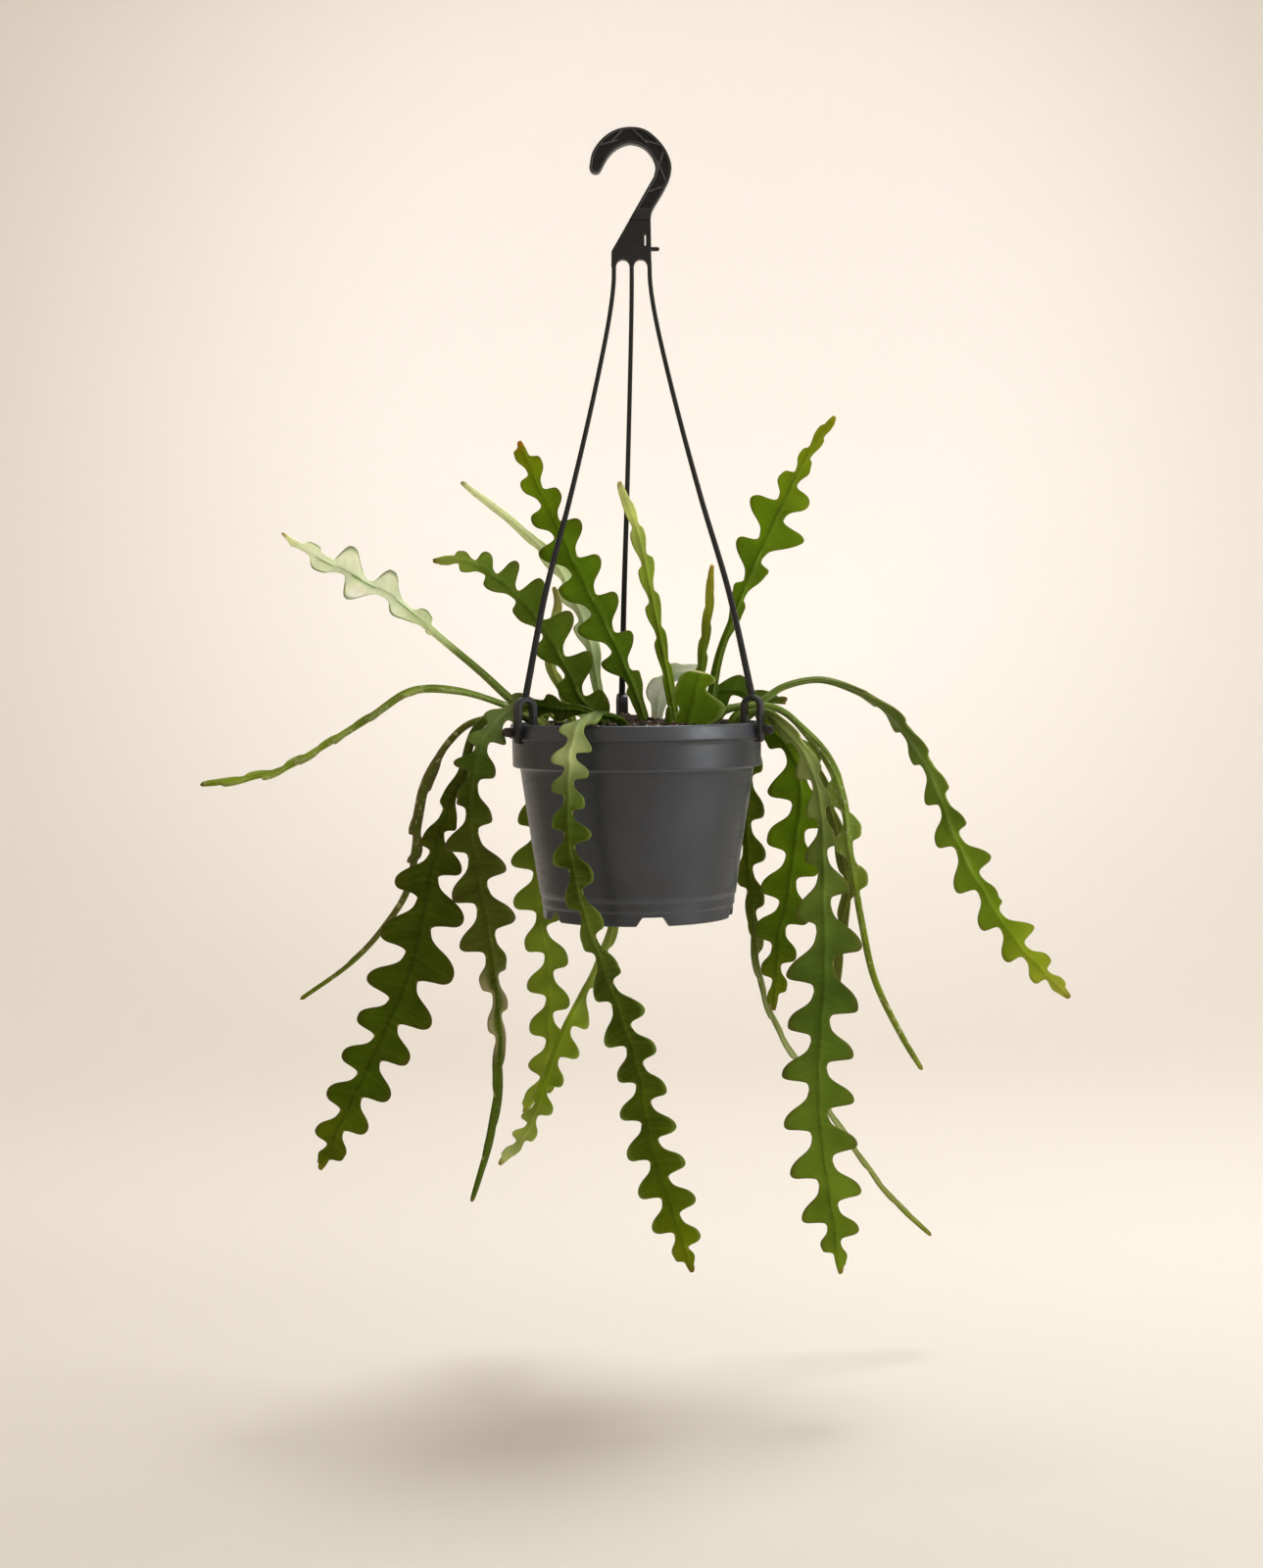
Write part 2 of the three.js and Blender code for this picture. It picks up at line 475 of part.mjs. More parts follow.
// The outline moved inwards by a distance, corner by corner.
function inset(outline, distance) {
  const count = outline.length;
  return outline.map(([x, y], i) => {
    const [px, py] = outline[(i + count - 1) % count];
    const [nx, ny] = outline[(i + 1) % count];
    const before = new THREE.Vector2(x - px, y - py).normalize();
    const after = new THREE.Vector2(nx - x, ny - y).normalize();
    const mean = before.clone().add(after).normalize();
    const stretch = 1 / Math.max(0.5, Math.sqrt((1 + before.dot(after)) / 2));
    return [x + mean.y * distance * stretch, y - mean.x * distance * stretch];
  });
}

// Extrudes an XZ outline along Y between two depths.
function plateSolid(outline, front, back) {
  const shape = new THREE.Shape(outline.map(([x, y]) => new THREE.Vector2(x, y)));
  const plate = new THREE.ExtrudeGeometry(shape, { depth: back - front, bevelEnabled: false });
  plate.rotateX(Math.PI / 2);
  plate.translate(0, back, 0);
  return toSolid(plate);
}

function makeHook() {
  const outline = hookOutline();
  const half = HOOK_THICK / 2;
  let pocket = plateSolid(inset(outline, HOOK_EDGE), -half - 1, half + 1);
  pocket = pocket.subtract(cutterSolid(-CUT, CUT, -CUT, POCKET_FLOOR));
  for (const [x0, z0, x1, z1] of HOOK_RIBS) {
    const length = Math.hypot(x1 - x0, z1 - z0);
    const rib = new THREE.BoxGeometry(length + 4, HOOK_THICK * 2, HOOK_RIB);
    rib.rotateY(-Math.atan2(z1 - z0, x1 - x0));
    rib.translate((x0 + x1) / 2, 0, (z0 + z1) / 2);
    pocket = pocket.subtract(toSolid(rib));
  }
  pocket = pocket.subtract(cutterSolid(-WEB_THICK / 2, WEB_THICK / 2, -CUT, CUT));
  let hook = plateSolid(outline, -half, half).subtract(pocket);
  for (const side of [ARM_TOP_X.left, ARM_TOP_X.right]) {
    const middle = (side + ARM_TOP_X.back) / 2;
    const arch = new THREE.CylinderGeometry(ARCH_R, ARCH_R, HOOK_THICK * 3, 16);
    arch.translate(middle, 0, PLATE_BOTTOM);
    hook = hook.subtract(toSolid(arch));
  }
  const thin = PLATE_THICK / 2;
  hook = hook.subtract(cutterSolid(thin, CUT, -CUT, PLATE_TOP));
  hook = hook.subtract(cutterSolid(-CUT, -thin, -CUT, PLATE_TOP));
  hook = hook.subtract(boxSolid(PLATE_SLIT.x0, PLATE_SLIT.x1, -CUT, CUT, PLATE_SLIT.z0, PLATE_SLIT.z1));
  const peg = new THREE.CapsuleGeometry(PEG_R, PEG_LENGTH, 3, 8);
  peg.rotateZ(Math.PI / 2);
  peg.translate(PLATE_RIGHT + PEG_R, 0, PEG_Z);
  return hook.add(toSolid(peg));
}

// One arm: a slim rod from the plate down to its clip, its run given as the share
// of the sideways travel made at each share of the drop.
const ARM_SPREAD = [[0, 0], [0.04, 0.005], [0.12, 0.055], [0.31, 0.24], [0.54, 0.5], [0.76, 0.775], [1, 1]];

function armPath(name) {
  const azimuth = CLIPS[name] * DEG;
  const seat = (CLIP_INNER_R + CLIP_OUTER_R) / 2;
  const top = new THREE.Vector3(ARM_TOP_X[name], 0, ARM_TOP_Z);
  const end = new THREE.Vector3(seat * Math.cos(azimuth), seat * Math.sin(azimuth), CLIP_TOP - 1.2);
  return ARM_SPREAD.map(([drop, spread]) => new THREE.Vector3(
    top.x + (end.x - top.x) * spread,
    top.y + (end.y - top.y) * spread,
    top.z + (end.z - top.z) * drop,
  ));
}

function armSolid(name) {
  const curve = smoothCurve(armPath(name));
  const rings = [];
  for (let i = 0; i <= ARM_STEPS; i += 1) {
    const t = i / ARM_STEPS;
    const middle = curve.getPointAt(t);
    const along = curve.getTangentAt(t);
    const side = new THREE.Vector3(1, 0, 0).addScaledVector(along, -along.x).normalize();
    const out = new THREE.Vector3().crossVectors(along, side);
    const r = ARM_TOP_R + (ARM_END_R - ARM_TOP_R) * t ** 2;
    const ring = [];
    for (let k = 0; k < ARM_SIDES; k += 1) {
      const turn = ((k + 0.5) * 2 * Math.PI) / ARM_SIDES;
      const [u, v] = [r * Math.cos(turn), r * Math.sin(turn)];
      ring.push(middle.clone().addScaledVector(side, u).addScaledVector(out, v));
    }
    rings.push(ring);
  }
  return toSolid(loft(rings));
}

function clipSolid(name) {
  const middle = (CLIP_INNER_R + CLIP_OUTER_R) / 2;
  const outer = (CLIP_OUTER_R - CLIP_INNER_R) / 2;
  const inner = outer - CLIP_STRAP;
  const crown = CLIP_TOP - outer;
  const saddle = new THREE.Shape();
  saddle.moveTo(CLIP_INNER_R, CLIP_INNER_FOOT);
  saddle.lineTo(CLIP_INNER_R + CLIP_STRAP, CLIP_INNER_FOOT);
  saddle.lineTo(CLIP_INNER_R + CLIP_STRAP, crown);
  saddle.absarc(middle, crown, inner, Math.PI, 0, true);
  saddle.lineTo(CLIP_OUTER_R - CLIP_STRAP, -LIP_HEIGHT - 0.5);
  saddle.lineTo(CLIP_OUTER_R - CLIP_STRAP - 1.2, -LIP_HEIGHT - 0.9);
  saddle.lineTo(CLIP_OUTER_R - CLIP_STRAP - 0.8, -LIP_HEIGHT - 2);
  saddle.lineTo(CLIP_OUTER_R - 1, -LIP_HEIGHT - 2.4);
  saddle.lineTo(CLIP_OUTER_R, -LIP_HEIGHT - 1);
  saddle.lineTo(CLIP_OUTER_R, crown);
  saddle.absarc(middle, crown, outer, 0, Math.PI, false);
  return radialSolid(saddle, CLIP_WIDTH, CLIPS[name]);
}

function makeHanger() {
  const hook = makeHook().translate(0, 0, HANG_DROP);
  const arms = Object.keys(CLIPS).flatMap((name) => [armSolid(name), clipSolid(name)]);
  return mainBody(unite([hook, ...arms]));
}

// ---------------------------------------------------------------- stems
// Joins rings of equal length into one closed skin. Rings run root to tip.
function loft(rings, diagonals = []) {
  const size = rings[0].length;
  const positions = rings.flatMap((ring) => ring.flatMap((p) => [p.x, p.y, p.z]));
  const index = [];
  for (let i = 0; i + 1 < rings.length; i += 1) {
    for (let k = 0; k < size; k += 1) {
      const a = i * size + k;
      const b = i * size + ((k + 1) % size);
      const c = b + size;
      const d = a + size;
      if (diagonals[k]) index.push(a, b, d, b, c, d);
      else index.push(a, b, c, a, c, d);
    }
  }
  const end = (rings.length - 1) * size;
  for (let k = 1; k + 1 < size; k += 1) {
    index.push(0, k + 1, k);
    index.push(end, end + k, end + k + 1);
  }
  const geometry = new THREE.BufferGeometry();
  geometry.setAttribute('position', new THREE.BufferAttribute(new Float32Array(positions), 3));
  geometry.setIndex(index);
  return geometry;
}

// Height of a lobe along its own cell, 0 at each notch and 1 at its rounded point:
// a slow rise from the root side and a steep fall on the tip side.
const LOBE_PEAK = 0.7;
function lobeHeight(cell) {
  const rising = cell < LOBE_PEAK;
  const part = rising ? (cell / LOBE_PEAK) ** 1.5 : ((1 - cell) / (1 - LOBE_PEAK)) ** 0.85;
  return Math.sin((part * Math.PI) / 2) ** 2;
}

function halfWidth(stem, t, beat, side) {
  const bias = 1 + side * (stem.bias ?? 0);
  const reach = knots(stem.reach, t)[0] * bias;
  const waist = Math.min(reach, Math.max(STALK_HALF * (1 - 0.4 * t), WAIST_SHARE * reach));
  const offset = side === stem.start ? 0 : stem.lag ?? 1;
  const cell = (((beat - offset) / 2 + LOBE_PEAK) % 1 + 1) % 1;
  return waist + (reach - waist) * lobeHeight(cell);
}

// The parts of the length that carry a section, with the lobe number at each.
function stations(stem, length) {
  const beats = stem.beats;
  const turned = beats.map(([t, beat]) => [beat, t]);
  const firstBeat = Math.ceil(beats[0][1]) - 1;
  const lastBeat = beats[beats.length - 1][1];
  const rings = stem.rings ?? 3;
  const slope = (beats[1][1] - beats[0][1]) / (beats[1][0] - beats[0][0]);
  const before = (beat) => beats[0][0] + (beat - beats[0][1]) / slope;
  const place = (beat) => (beat < beats[0][1] ? before(beat) : knots(turned, beat)[0]);
  const start = place(firstBeat);
  const list = [];
  const stalkSteps = Math.max(2, Math.round((start * length) / STALK_STEP));
  for (let i = 0; i < stalkSteps; i += 1) list.push([(start * i) / stalkSteps, firstBeat]);
  const steps = Math.floor((lastBeat - firstBeat) * rings + 1e-6);
  for (let i = 0; i <= steps; i += 1) {
    const beat = firstBeat + i / rings;
    list.push([place(beat), beat]);
  }
  list.push([1, null]);
  return list;
}

// Sections: six points each, top edge, rib and edge, then the same below. grow
// makes the fatter copy that cuts the stem's hole in the potting mix.
function stemRings(stem, grow = 0) {
  const curve = smoothCurve(stem.path.map((p) => new THREE.Vector3(...p)));
  const length = curve.getLength();
  const rings = [];
  for (const [t, beat] of stations(stem, length)) {
    const middle = curve.getPointAt(t);
    const along = curve.getTangentAt(t);
    const across = new THREE.Vector3(...knots(stem.across, t));
    across.addScaledVector(along, -across.dot(along)).normalize();
    const lift = new THREE.Vector3().crossVectors(across, along);
    const tip = beat === null;
    const right = (tip ? TIP_HALF : halfWidth(stem, t, beat, 1)) + grow;
    const left = (tip ? TIP_HALF : halfWidth(stem, t, beat, -1)) + grow;
    const slim = THREE.MathUtils.clamp((4.4 - Math.max(left, right)) / 1.2, 0, 1);
    const edge = (tip ? 1 : EDGE_THICK + (PETIOLE_EDGE - EDGE_THICK) * slim * (1 - 0.6 * t)) / 2 + grow;
    const rib = (tip ? 1.2 : RIB_BASE + (RIB_TIP - RIB_BASE) * t ** 0.7) / 2 + grow;
    const fold = stem.fold ?? 0;
    if (grow > 0 && t === 0) middle.addScaledVector(along, -grow);
    const point = (u, h) => middle.clone().addScaledVector(across, u)
      .addScaledVector(lift, h + fold * Math.abs(u));
    rings.push([
      point(-left, edge), point(0, rib), point(right, edge),
      point(right, -edge), point(0, -rib), point(-left, -edge),
    ]);
  }
  return rings;
}

const WING_DIAGONALS = [true, false, false, true, false, false];

function makeStem(stem, grow = 0) {
  return toSolid(loft(stemRings(stem, grow), WING_DIAGONALS));
}

// ---------------------------------------------------------------- potting mix
// Height of the crumbly surface, lumps from a few fixed waves.
function soilHeight(x, y) {
  const far = (x * x + y * y) / (SOIL_R * SOIL_R);
  const broad = 0.9 * Math.sin(0.31 * x + 1.3) * Math.sin(0.27 * y + 0.4);
  const lumps = broad + 0.6 * Math.sin(0.63 * x - 0.5 * y);
  const near = Math.hypot(x - SOIL_HEAP.x, y - SOIL_HEAP.y) / SOIL_HEAP.spread;
  const heap = SOIL_HEAP.height * Math.exp(-near * near);
  return SOIL_MOUND + (SOIL_SINK - SOIL_MOUND) * far + heap + lumps * (1 - 0.6 * far);
}

function makeSoil(stems) {
  const floor = -POT_HEIGHT + FOOT_LIFT + WALL + CLEARANCE;
  const top = [0.16, 0.4, 0.65, 0.87, 1];
  const column = [[BAND_R - WALL - CLEARANCE, BAND_BOTTOM + 1.4],
    [BODY_TOP_R - WALL - CLEARANCE - 0.3, BAND_BOTTOM + 0.2],
    [FOOT_R - WALL - CLEARANCE, floor + 2.6], [FOOT_R - WALL - 2, floor]];
  const rings = [];
  const ringOf = (radius, height) => Array.from({ length: POT_SIDES }, (_, k) => {
    const turn = (k * 2 * Math.PI) / POT_SIDES;
    const x = radius * Math.cos(turn);
    const y = radius * Math.sin(turn);
    return new THREE.Vector3(x, y, height ?? soilHeight(x, y));
  });
  for (const share of top) rings.push(ringOf(share * SOIL_R));
  for (const [radius, height] of column) rings.push(ringOf(radius, height));
  rings.reverse();
  let soil = toSolid(loft(rings));
  for (const stem of Object.values(stems)) {
    soil = soil.subtract(makeStem(stem, CLEARANCE));
  }
  for (const azimuth of Object.values(CLIPS)) {
    const slot = new THREE.BoxGeometry(CLIP_OUTER_R - CLIP_INNER_R + 2, CLIP_WIDTH + 1, 40);
    slot.translate((CLIP_INNER_R + CLIP_OUTER_R) / 2 - 0.6, 0, CLIP_INNER_FOOT - CLEARANCE + 20);
    slot.rotateZ(azimuth * DEG);
    soil = soil.subtract(toSolid(slot));
  }
  return mainBody(soil);
}

// ---------------------------------------------------------------- materials and scene graph
const material = (color, roughness) => new THREE.MeshStandardMaterial({ color, roughness, metalness: 0 });
const MATERIALS = {
  pot: material(0x3c3e42, 0.5),
  hanger: material(0x232528, 0.45),
  soil: material(0x3b2c20, 0.95),
  stem: material(0x3f7a1c, 0.45),
};

const plant = new THREE.Group();
plant.position.z = -HANG_DROP;

function addPiece(name, solid, kind) {
  const piece = new THREE.Mesh(toGeometry(solid), MATERIALS[kind]);
  piece.name = name;
  plant.add(piece);
}

addPiece('pot', makePot(), 'pot');
addPiece('hanger', makeHanger(), 'hanger');
addPiece('soil', makeSoil(STEMS), 'soil');
for (const [name, stem] of Object.entries(STEMS)) addPiece(name, makeStem(stem), 'stem');

export default plant;
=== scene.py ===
"""Fishbone cactus in a hanging pot: the looks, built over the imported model.

Lengths in the tables are millimetres from the middle of the pot's rim, and place() turns
them into metres in the row's frame, whose origin is the bearing point of the hook.
"""

import math

import bmesh
import bpy
import numpy as np
from mathutils import Matrix, Vector
from mathutils.geometry import tessellate_polygon


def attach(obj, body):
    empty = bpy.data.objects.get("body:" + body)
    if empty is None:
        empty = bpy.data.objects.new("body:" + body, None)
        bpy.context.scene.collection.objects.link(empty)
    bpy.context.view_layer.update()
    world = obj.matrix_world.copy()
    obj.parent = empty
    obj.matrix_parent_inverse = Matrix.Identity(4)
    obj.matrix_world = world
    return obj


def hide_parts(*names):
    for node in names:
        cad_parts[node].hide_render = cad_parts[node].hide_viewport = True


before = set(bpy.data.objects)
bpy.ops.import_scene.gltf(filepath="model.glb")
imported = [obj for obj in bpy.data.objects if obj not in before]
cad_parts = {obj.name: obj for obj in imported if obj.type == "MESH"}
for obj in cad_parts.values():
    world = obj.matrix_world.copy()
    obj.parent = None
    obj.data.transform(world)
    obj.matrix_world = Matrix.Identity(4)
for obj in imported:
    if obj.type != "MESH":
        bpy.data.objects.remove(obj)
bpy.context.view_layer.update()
scene = bpy.context.scene

# ---------------------------------------------------------------- sizes, as in the solids
MM = 0.001
HANG_DROP = 335
RIM_R = 75
LIP_HEIGHT = 8.7
BAND_R = 73.25
BAND_BOTTOM = -25.6
BODY_TOP_R = 68.5
FOOT_R = 55.9
POT_HEIGHT = 114.5
WALL = 1.55
FOOT_LIFT = 5
FOOT_LINES = (-106.8, -100.8)
NOTCH_COUNT = 5
NOTCH_HALF = (9.8, 6)
NOTCH_FIRST = -81.2
HOLE_R = 3.5
HOLE_RING_R = 40
LUG_TURN = 6
LUG_WIDTH = 5
LUG_REACH = 5.5
LUG_HALF = 2.7
CLIPS = {"left": 209, "right": 337, "back": 97}
CLIP_INNER_R = 66.2
CLIP_OUTER_R = 79
CLIP_STRAP = 3
CLIP_WIDTH = 5.8
CLIP_TOP = 16
CLIP_INNER_FOOT = -6
ARM_TOP_Z = HANG_DROP - 69.1
ARM_TOP_X = {"left": -10.8, "right": 9.9, "back": -0.5}
ARM_TOP_R = 1.3
ARM_END_R = 2
HOOK_THICK = 6.4
WEB_THICK = 2.8
HOOK_EDGE = 1.5
HOOK_RIB = 0.9
POCKET_FLOOR = -37
PLATE_TOP = -43.8
PLATE_THICK = 4.6
PLATE_SLIT = (7.1, 7.9, -58.3, -51.9)
PLATE_RIGHT = 11
PLATE_BOTTOM = -70.1
PLATE_LEFT = (-12.2, -61.4)
ARCH_R = 3.85
PEG_R = 1.3
PEG_LENGTH = 4.6
PEG_Z = -60
SOIL_R = 71.2
SOIL_MOUND = 0.6
SOIL_SINK = -4
SOIL_HEAP = (-8, 48, 5, 13)     # middle, height and spread of the heap beside the back clip

EDGE_THICK = 1.3
PETIOLE_EDGE = 2.4
RIB_BASE = 5
RIB_TIP = 2.2
STALK_HALF = 3
WAIST_SHARE = 0.25
LOBE_PEAK = 0.7

# ---------------------------------------------------------------- stems
# path: the midrib, root first. across: rows of (part of the length, x, y, z), the way the lobes spread.
# lobes: (part of the length, half width) of each lobe, one table for the side that across points to and
# one for the other. edges: the half widths themselves, for the odd ones. waist: the notches' half width
# as a part of the lobes'. fall: where a lobe's underside is half way down. stalk: the least half width.
# thick: the flesh is this much thicker past the stalk. step: distance between sections.
STEMS = {
    "stem_up_left": dict(
        path=((-44, 4, -14), (-57, 5, 1), (-73, 5, 13), (-91, 2, 30), (-116, -6, 52), (-138, -12, 72),
              (-160, -19, 85), (-186, -25, 99), (-202, -30, 111)),
        across=((0, 0.5, 0, 0.85),),
        edges=(((0, 3), (0.2, 2.6), (0.4, 2.2), (0.483, 2.3), (0.502, 3.5), (0.524, 5.7), (0.547, 6.8),
                (0.563, 5.6), (0.574, 2.6), (0.587, 1.7), (0.612, 2.1), (0.629, 3.8), (0.646, 6.6),
                (0.655, 9.8), (0.664, 12), (0.674, 13.3), (0.683, 13.4), (0.692, 12.3), (0.699, 10),
                (0.704, 7.2), (0.709, 4.6), (0.717, 2.8), (0.729, 2.2), (0.745, 3.9), (0.758, 6.2),
                (0.772, 9.4), (0.782, 12.2), (0.793, 14.4), (0.804, 15.2), (0.814, 14.6), (0.822, 12.5),
                (0.828, 9.6), (0.832, 7), (0.836, 5), (0.844, 3.5), (0.866, 3.6), (0.883, 5.6),
                (0.9, 6.3), (0.918, 5.9), (0.928, 4.6), (0.938, 2.4), (0.961, 1.5), (0.985, 0.9),
                (1, 0.6)),
               ((0, 3), (0.2, 2.6), (0.4, 2.2), (0.467, 2.2), (0.479, 3.4), (0.495, 3.4), (0.51, 2.4),
                (0.528, 2.6), (0.558, 4.8), (0.585, 6.9), (0.602, 8.2), (0.616, 8.7), (0.628, 8),
                (0.637, 6.3), (0.644, 4.6), (0.651, 3.4), (0.665, 2.8), (0.681, 3.1), (0.7, 4.6),
                (0.716, 7.4), (0.733, 10.8), (0.746, 12.9), (0.757, 13.8), (0.766, 13.2), (0.774, 11.2),
                (0.78, 8), (0.785, 4.9), (0.79, 3), (0.797, 2), (0.81, 2.3), (0.832, 4.2), (0.855, 6.6),
                (0.873, 7), (0.887, 5.6), (0.896, 3.4), (0.905, 1.6), (0.92, 1.3), (0.939, 1.8),
                (0.959, 3), (0.972, 2), (1, 0.7))),
        step=0.8),
    "stem_back_pale": dict(
        path=((-17, 33, -14), (-21, 35, 8), (-29, 44, 51), (-38, 50, 75), (-47, 54, 93), (-61, 58, 109),
              (-84, 64, 129), (-107, 70, 147)),
        lobes=(((0.3, 5.7), (0.432, 7.8), (0.564, 7.5), (0.696, 3), (0.828, 2.6), (0.96, 1.7)),
               ((0.234, 3.9), (0.366, 7.2), (0.498, 8.5), (0.63, 5.5), (0.762, 2.8), (0.894, 2.4)))),
    "stem_back_thin": dict(
        path=((-36, 21, -14), (-41, 24, 10), (-51, 27, 35), (-50, 30, 57), (-47, 33, 71), (-49, 34, 81)),
        lobes=(((0.4, 3.5), (0.624, 3.9), (0.848, 3.3)),
               ((0.288, 3.2), (0.512, 3.8), (0.736, 3.6), (0.96, 1.6)))),
    "stem_up_arching": dict(
        path=((-22, -2, -14), (-27, -2, 7), (-33, -3, 15), (-40, -5, 30), (-56, -10, 58), (-73, -16, 78),
              (-94, -28, 93), (-106, -34, 95), (-115, -38, 94)),
        across=((0, 1, 0, 0.2), (0.8, 0.6, 0, 0.8), (1, 0.1, 0, 1)),
        lobes=(((0.149, 12.6), (0.315, 17.6), (0.471, 19.4), (0.62, 17.6), (0.72, 15.4), (0.822, 9.8),
                (0.9, 5.2)),
               ((0.25, 10), (0.417, 11.2), (0.587, 8.2), (0.748, 8), (0.881, 6.6), (0.962, 3.2))),
        waist=0.17),
    "stem_up_tall": dict(
        path=((6, -2, -14), (5, -2, 0), (-1, -3, 19), (-14, -7, 49), (-30, -10, 81), (-44, -14, 111),
              (-58, -18, 142), (-66, -20, 163)),
        across=((0, 1, 0, 0.2),),
        lobes=(((0.208, 6.5), (0.329, 12.4), (0.454, 14.6), (0.581, 15.4), (0.706, 14.3), (0.815, 10.6),
                (0.923, 8)),
               ((0.159, 4.4), (0.276, 12), (0.407, 16), (0.537, 15), (0.667, 16.3), (0.769, 11.8),
                (0.875, 9), (0.965, 5.8)))),
    "stem_up_narrow": dict(
        path=((23, 5, -14), (22, 6, 6), (17, 10, 36), (10, 16, 73), (2, 21, 111), (-9, 26, 143)),
        lobes=(((0.27, 3.6), (0.4, 4), (0.536, 4.6), (0.682, 5.6), (0.8, 4.2), (0.895, 3.4)),
               ((0.22, 3.4), (0.36, 4.4), (0.5, 5.6), (0.639, 5.3), (0.777, 5.2), (0.94, 3)))),
    "stem_up_young": dict(
        path=((38, 12, -14), (38, 13, 6), (38, 15, 25), (41, 18, 48), (44, 21, 70), (46, 24, 93)),
        lobes=(((0.3, 3.2), (0.465, 3.5), (0.63, 3.3), (0.795, 3), (0.96, 1.4)),
               ((0.217, 3), (0.382, 3.4), (0.547, 3.5), (0.712, 3.1), (0.877, 2.8)))),
    "stem_up_right": dict(
        path=((44, 0, -14), (44, 1, 5), (46, 4, 24), (50, 7, 41), (57, 11, 59), (71, 18, 93),
              (90, 28, 132), (106, 35, 161), (121, 40, 182)),
        across=((0, 1, 0, -0.3),),
        lobes=(((0.38, 4.6), (0.497, 8.8), (0.633, 21.6), (0.745, 14.4), (0.839, 5), (0.917, 3.9),
                (0.975, 2.8)),
               ((0.43, 6), (0.555, 15.4), (0.685, 18.9), (0.785, 8.6), (0.865, 4.8), (0.944, 4)))),
    "stem_short_cut": dict(
        path=((28, -30, -14), (29, -30, -1), (33, -30, 15), (36, -30, 30)),
        across=((0, 1, 0, -0.2),),
        edges=(((0, 4), (0.2, 8), (0.38, 13.6), (0.44, 16.3), (0.49, 18), (0.54, 19.2), (0.6, 19.2),
                (0.65, 18), (0.7, 13), (0.75, 8), (0.79, 6.2), (0.83, 6.8), (0.87, 9.2), (0.91, 10.6),
                (0.95, 9.8), (0.98, 7.4), (1, 3.4)),
               ((0, 4), (0.2, 7), (0.38, 7.8), (0.44, 6), (0.49, 7), (0.54, 10), (0.6, 12.3),
                (0.65, 12.7), (0.7, 12.3), (0.75, 11.5), (0.8, 11), (0.85, 10.6), (0.9, 9.9), (0.94, 8.4),
                (0.97, 6.2), (1, 2.6)))),
    "stem_short_round": dict(
        path=((18, -34, -12), (19, -34, 0), (19, -34, 10)),
        lobes=(((0.5, 3.7),),
               ((0.2, 4), (0.8, 2.4)))),
    "stem_short_pale": dict(
        path=((12, 25, -14), (12, 25, 0), (13, 25, 10), (15, 25, 19), (21, 25, 26), (30, 25, 29.5),
              (40, 25, 30)),
        across=((0, 1, 0, 0), (1, 0.2, 0, -1)),
        edges=(((0, 3), (0.25, 3.6), (0.36, 4.6), (0.42, 6), (0.5, 8), (0.56, 6), (0.62, 4), (0.66, 3.5),
                (0.72, 3.6), (0.78, 4), (0.84, 4), (0.95, 3.6), (1, 1.5)),
               ((0, 3), (0.25, 3.2), (0.36, 4), (0.42, 6.5), (0.5, 8.5), (0.56, 8), (0.62, 5),
                (0.66, 4.5), (0.72, 7.5), (0.78, 6.5), (0.84, 4.5), (0.95, 4), (1, 1.5)))),
    "stem_short_back": dict(
        path=((28, 28, -14), (32, 28, 2), (44, 28, 16), (60, 28, 17), (78, 28, 13), (90, 28, 10)),
        across=((0, 1, 0, -0.5), (0.5, 0, 0, -1)),
        lobes=(((0.07, 4), (0.53, 10), (0.8, 6)),
               ((0.3, 4), (0.64, 10.5), (0.96, 2.1)))),
    "stem_stub": dict(
        path=((56, 15, -14), (66, 16, 3), (77, 16, 10.5), (90, 16, 12.5)),
        across=((0, 0.2, 0, -1),),
        lobes=(((0.5, 3.5),),
               ((0.1, 3), (0.9, 2.1)))),
    "stem_left_arch": dict(
        path=((-48, 22, -14), (-61, 20, 2), (-80, 17, 11), (-107, 22, 19), (-135, 29, 19), (-160, 35, 4),
              (-187, 42, -12), (-219, 51, -29), (-253, 58, -36), (-270, 62, -38)),
        across=((0, 0, 1, 0.15), (1, 0, 0.9, 0.4)),
        lobes=(((0.24, 5), (0.344, 6.6), (0.449, 8), (0.553, 9.2), (0.657, 9.4), (0.761, 8.8),
                (0.866, 7.4), (0.96, 3.2)),
               ((0.188, 4), (0.292, 6), (0.396, 7.4), (0.501, 8.6), (0.605, 9.6), (0.709, 9.2),
                (0.814, 8), (0.918, 6))),
        thick=1.4),
    "stem_left_corky": dict(
        path=((-46, -5, -14), (-58, -3, 1), (-75, 2, 6), (-88, 5, 3), (-100, 6, -1), (-112, 7, -12),
              (-126, 11, -35), (-131, 15, -59), (-138, 20, -99), (-155, 25, -125), (-174, 29, -145),
              (-206, 34, -168)),
        across=((0, 0, 1, 0.1), (0.28, 0.15, 1, 0.1), (0.36, 0.8, 0.6, 0.1), (0.62, 0.8, 0.6, 0),
                (1, 0.6, 0.9, 0.3)),
        edges=(((0, 3), (0.15, 2.6), (0.28, 2.9), (0.33, 4), (0.37, 6), (0.4, 5.8), (0.43, 3.4),
                (0.47, 3), (0.5, 2.8), (0.513, 2.9), (0.524, 3.6), (0.55, 5.2), (0.565, 4.4),
                (0.578, 2.4), (0.592, 2.2), (0.7, 2.1), (0.75, 2.8), (0.77, 2), (0.87, 2), (1, 1.3)),
               ((0, 3), (0.15, 2.6), (0.28, 2.7), (0.33, 2.8), (0.37, 2.8), (0.4, 3), (0.43, 3.2),
                (0.47, 4), (0.5, 5.8), (0.513, 5.4), (0.524, 2.2), (0.55, 2.4), (0.565, 4), (0.578, 5),
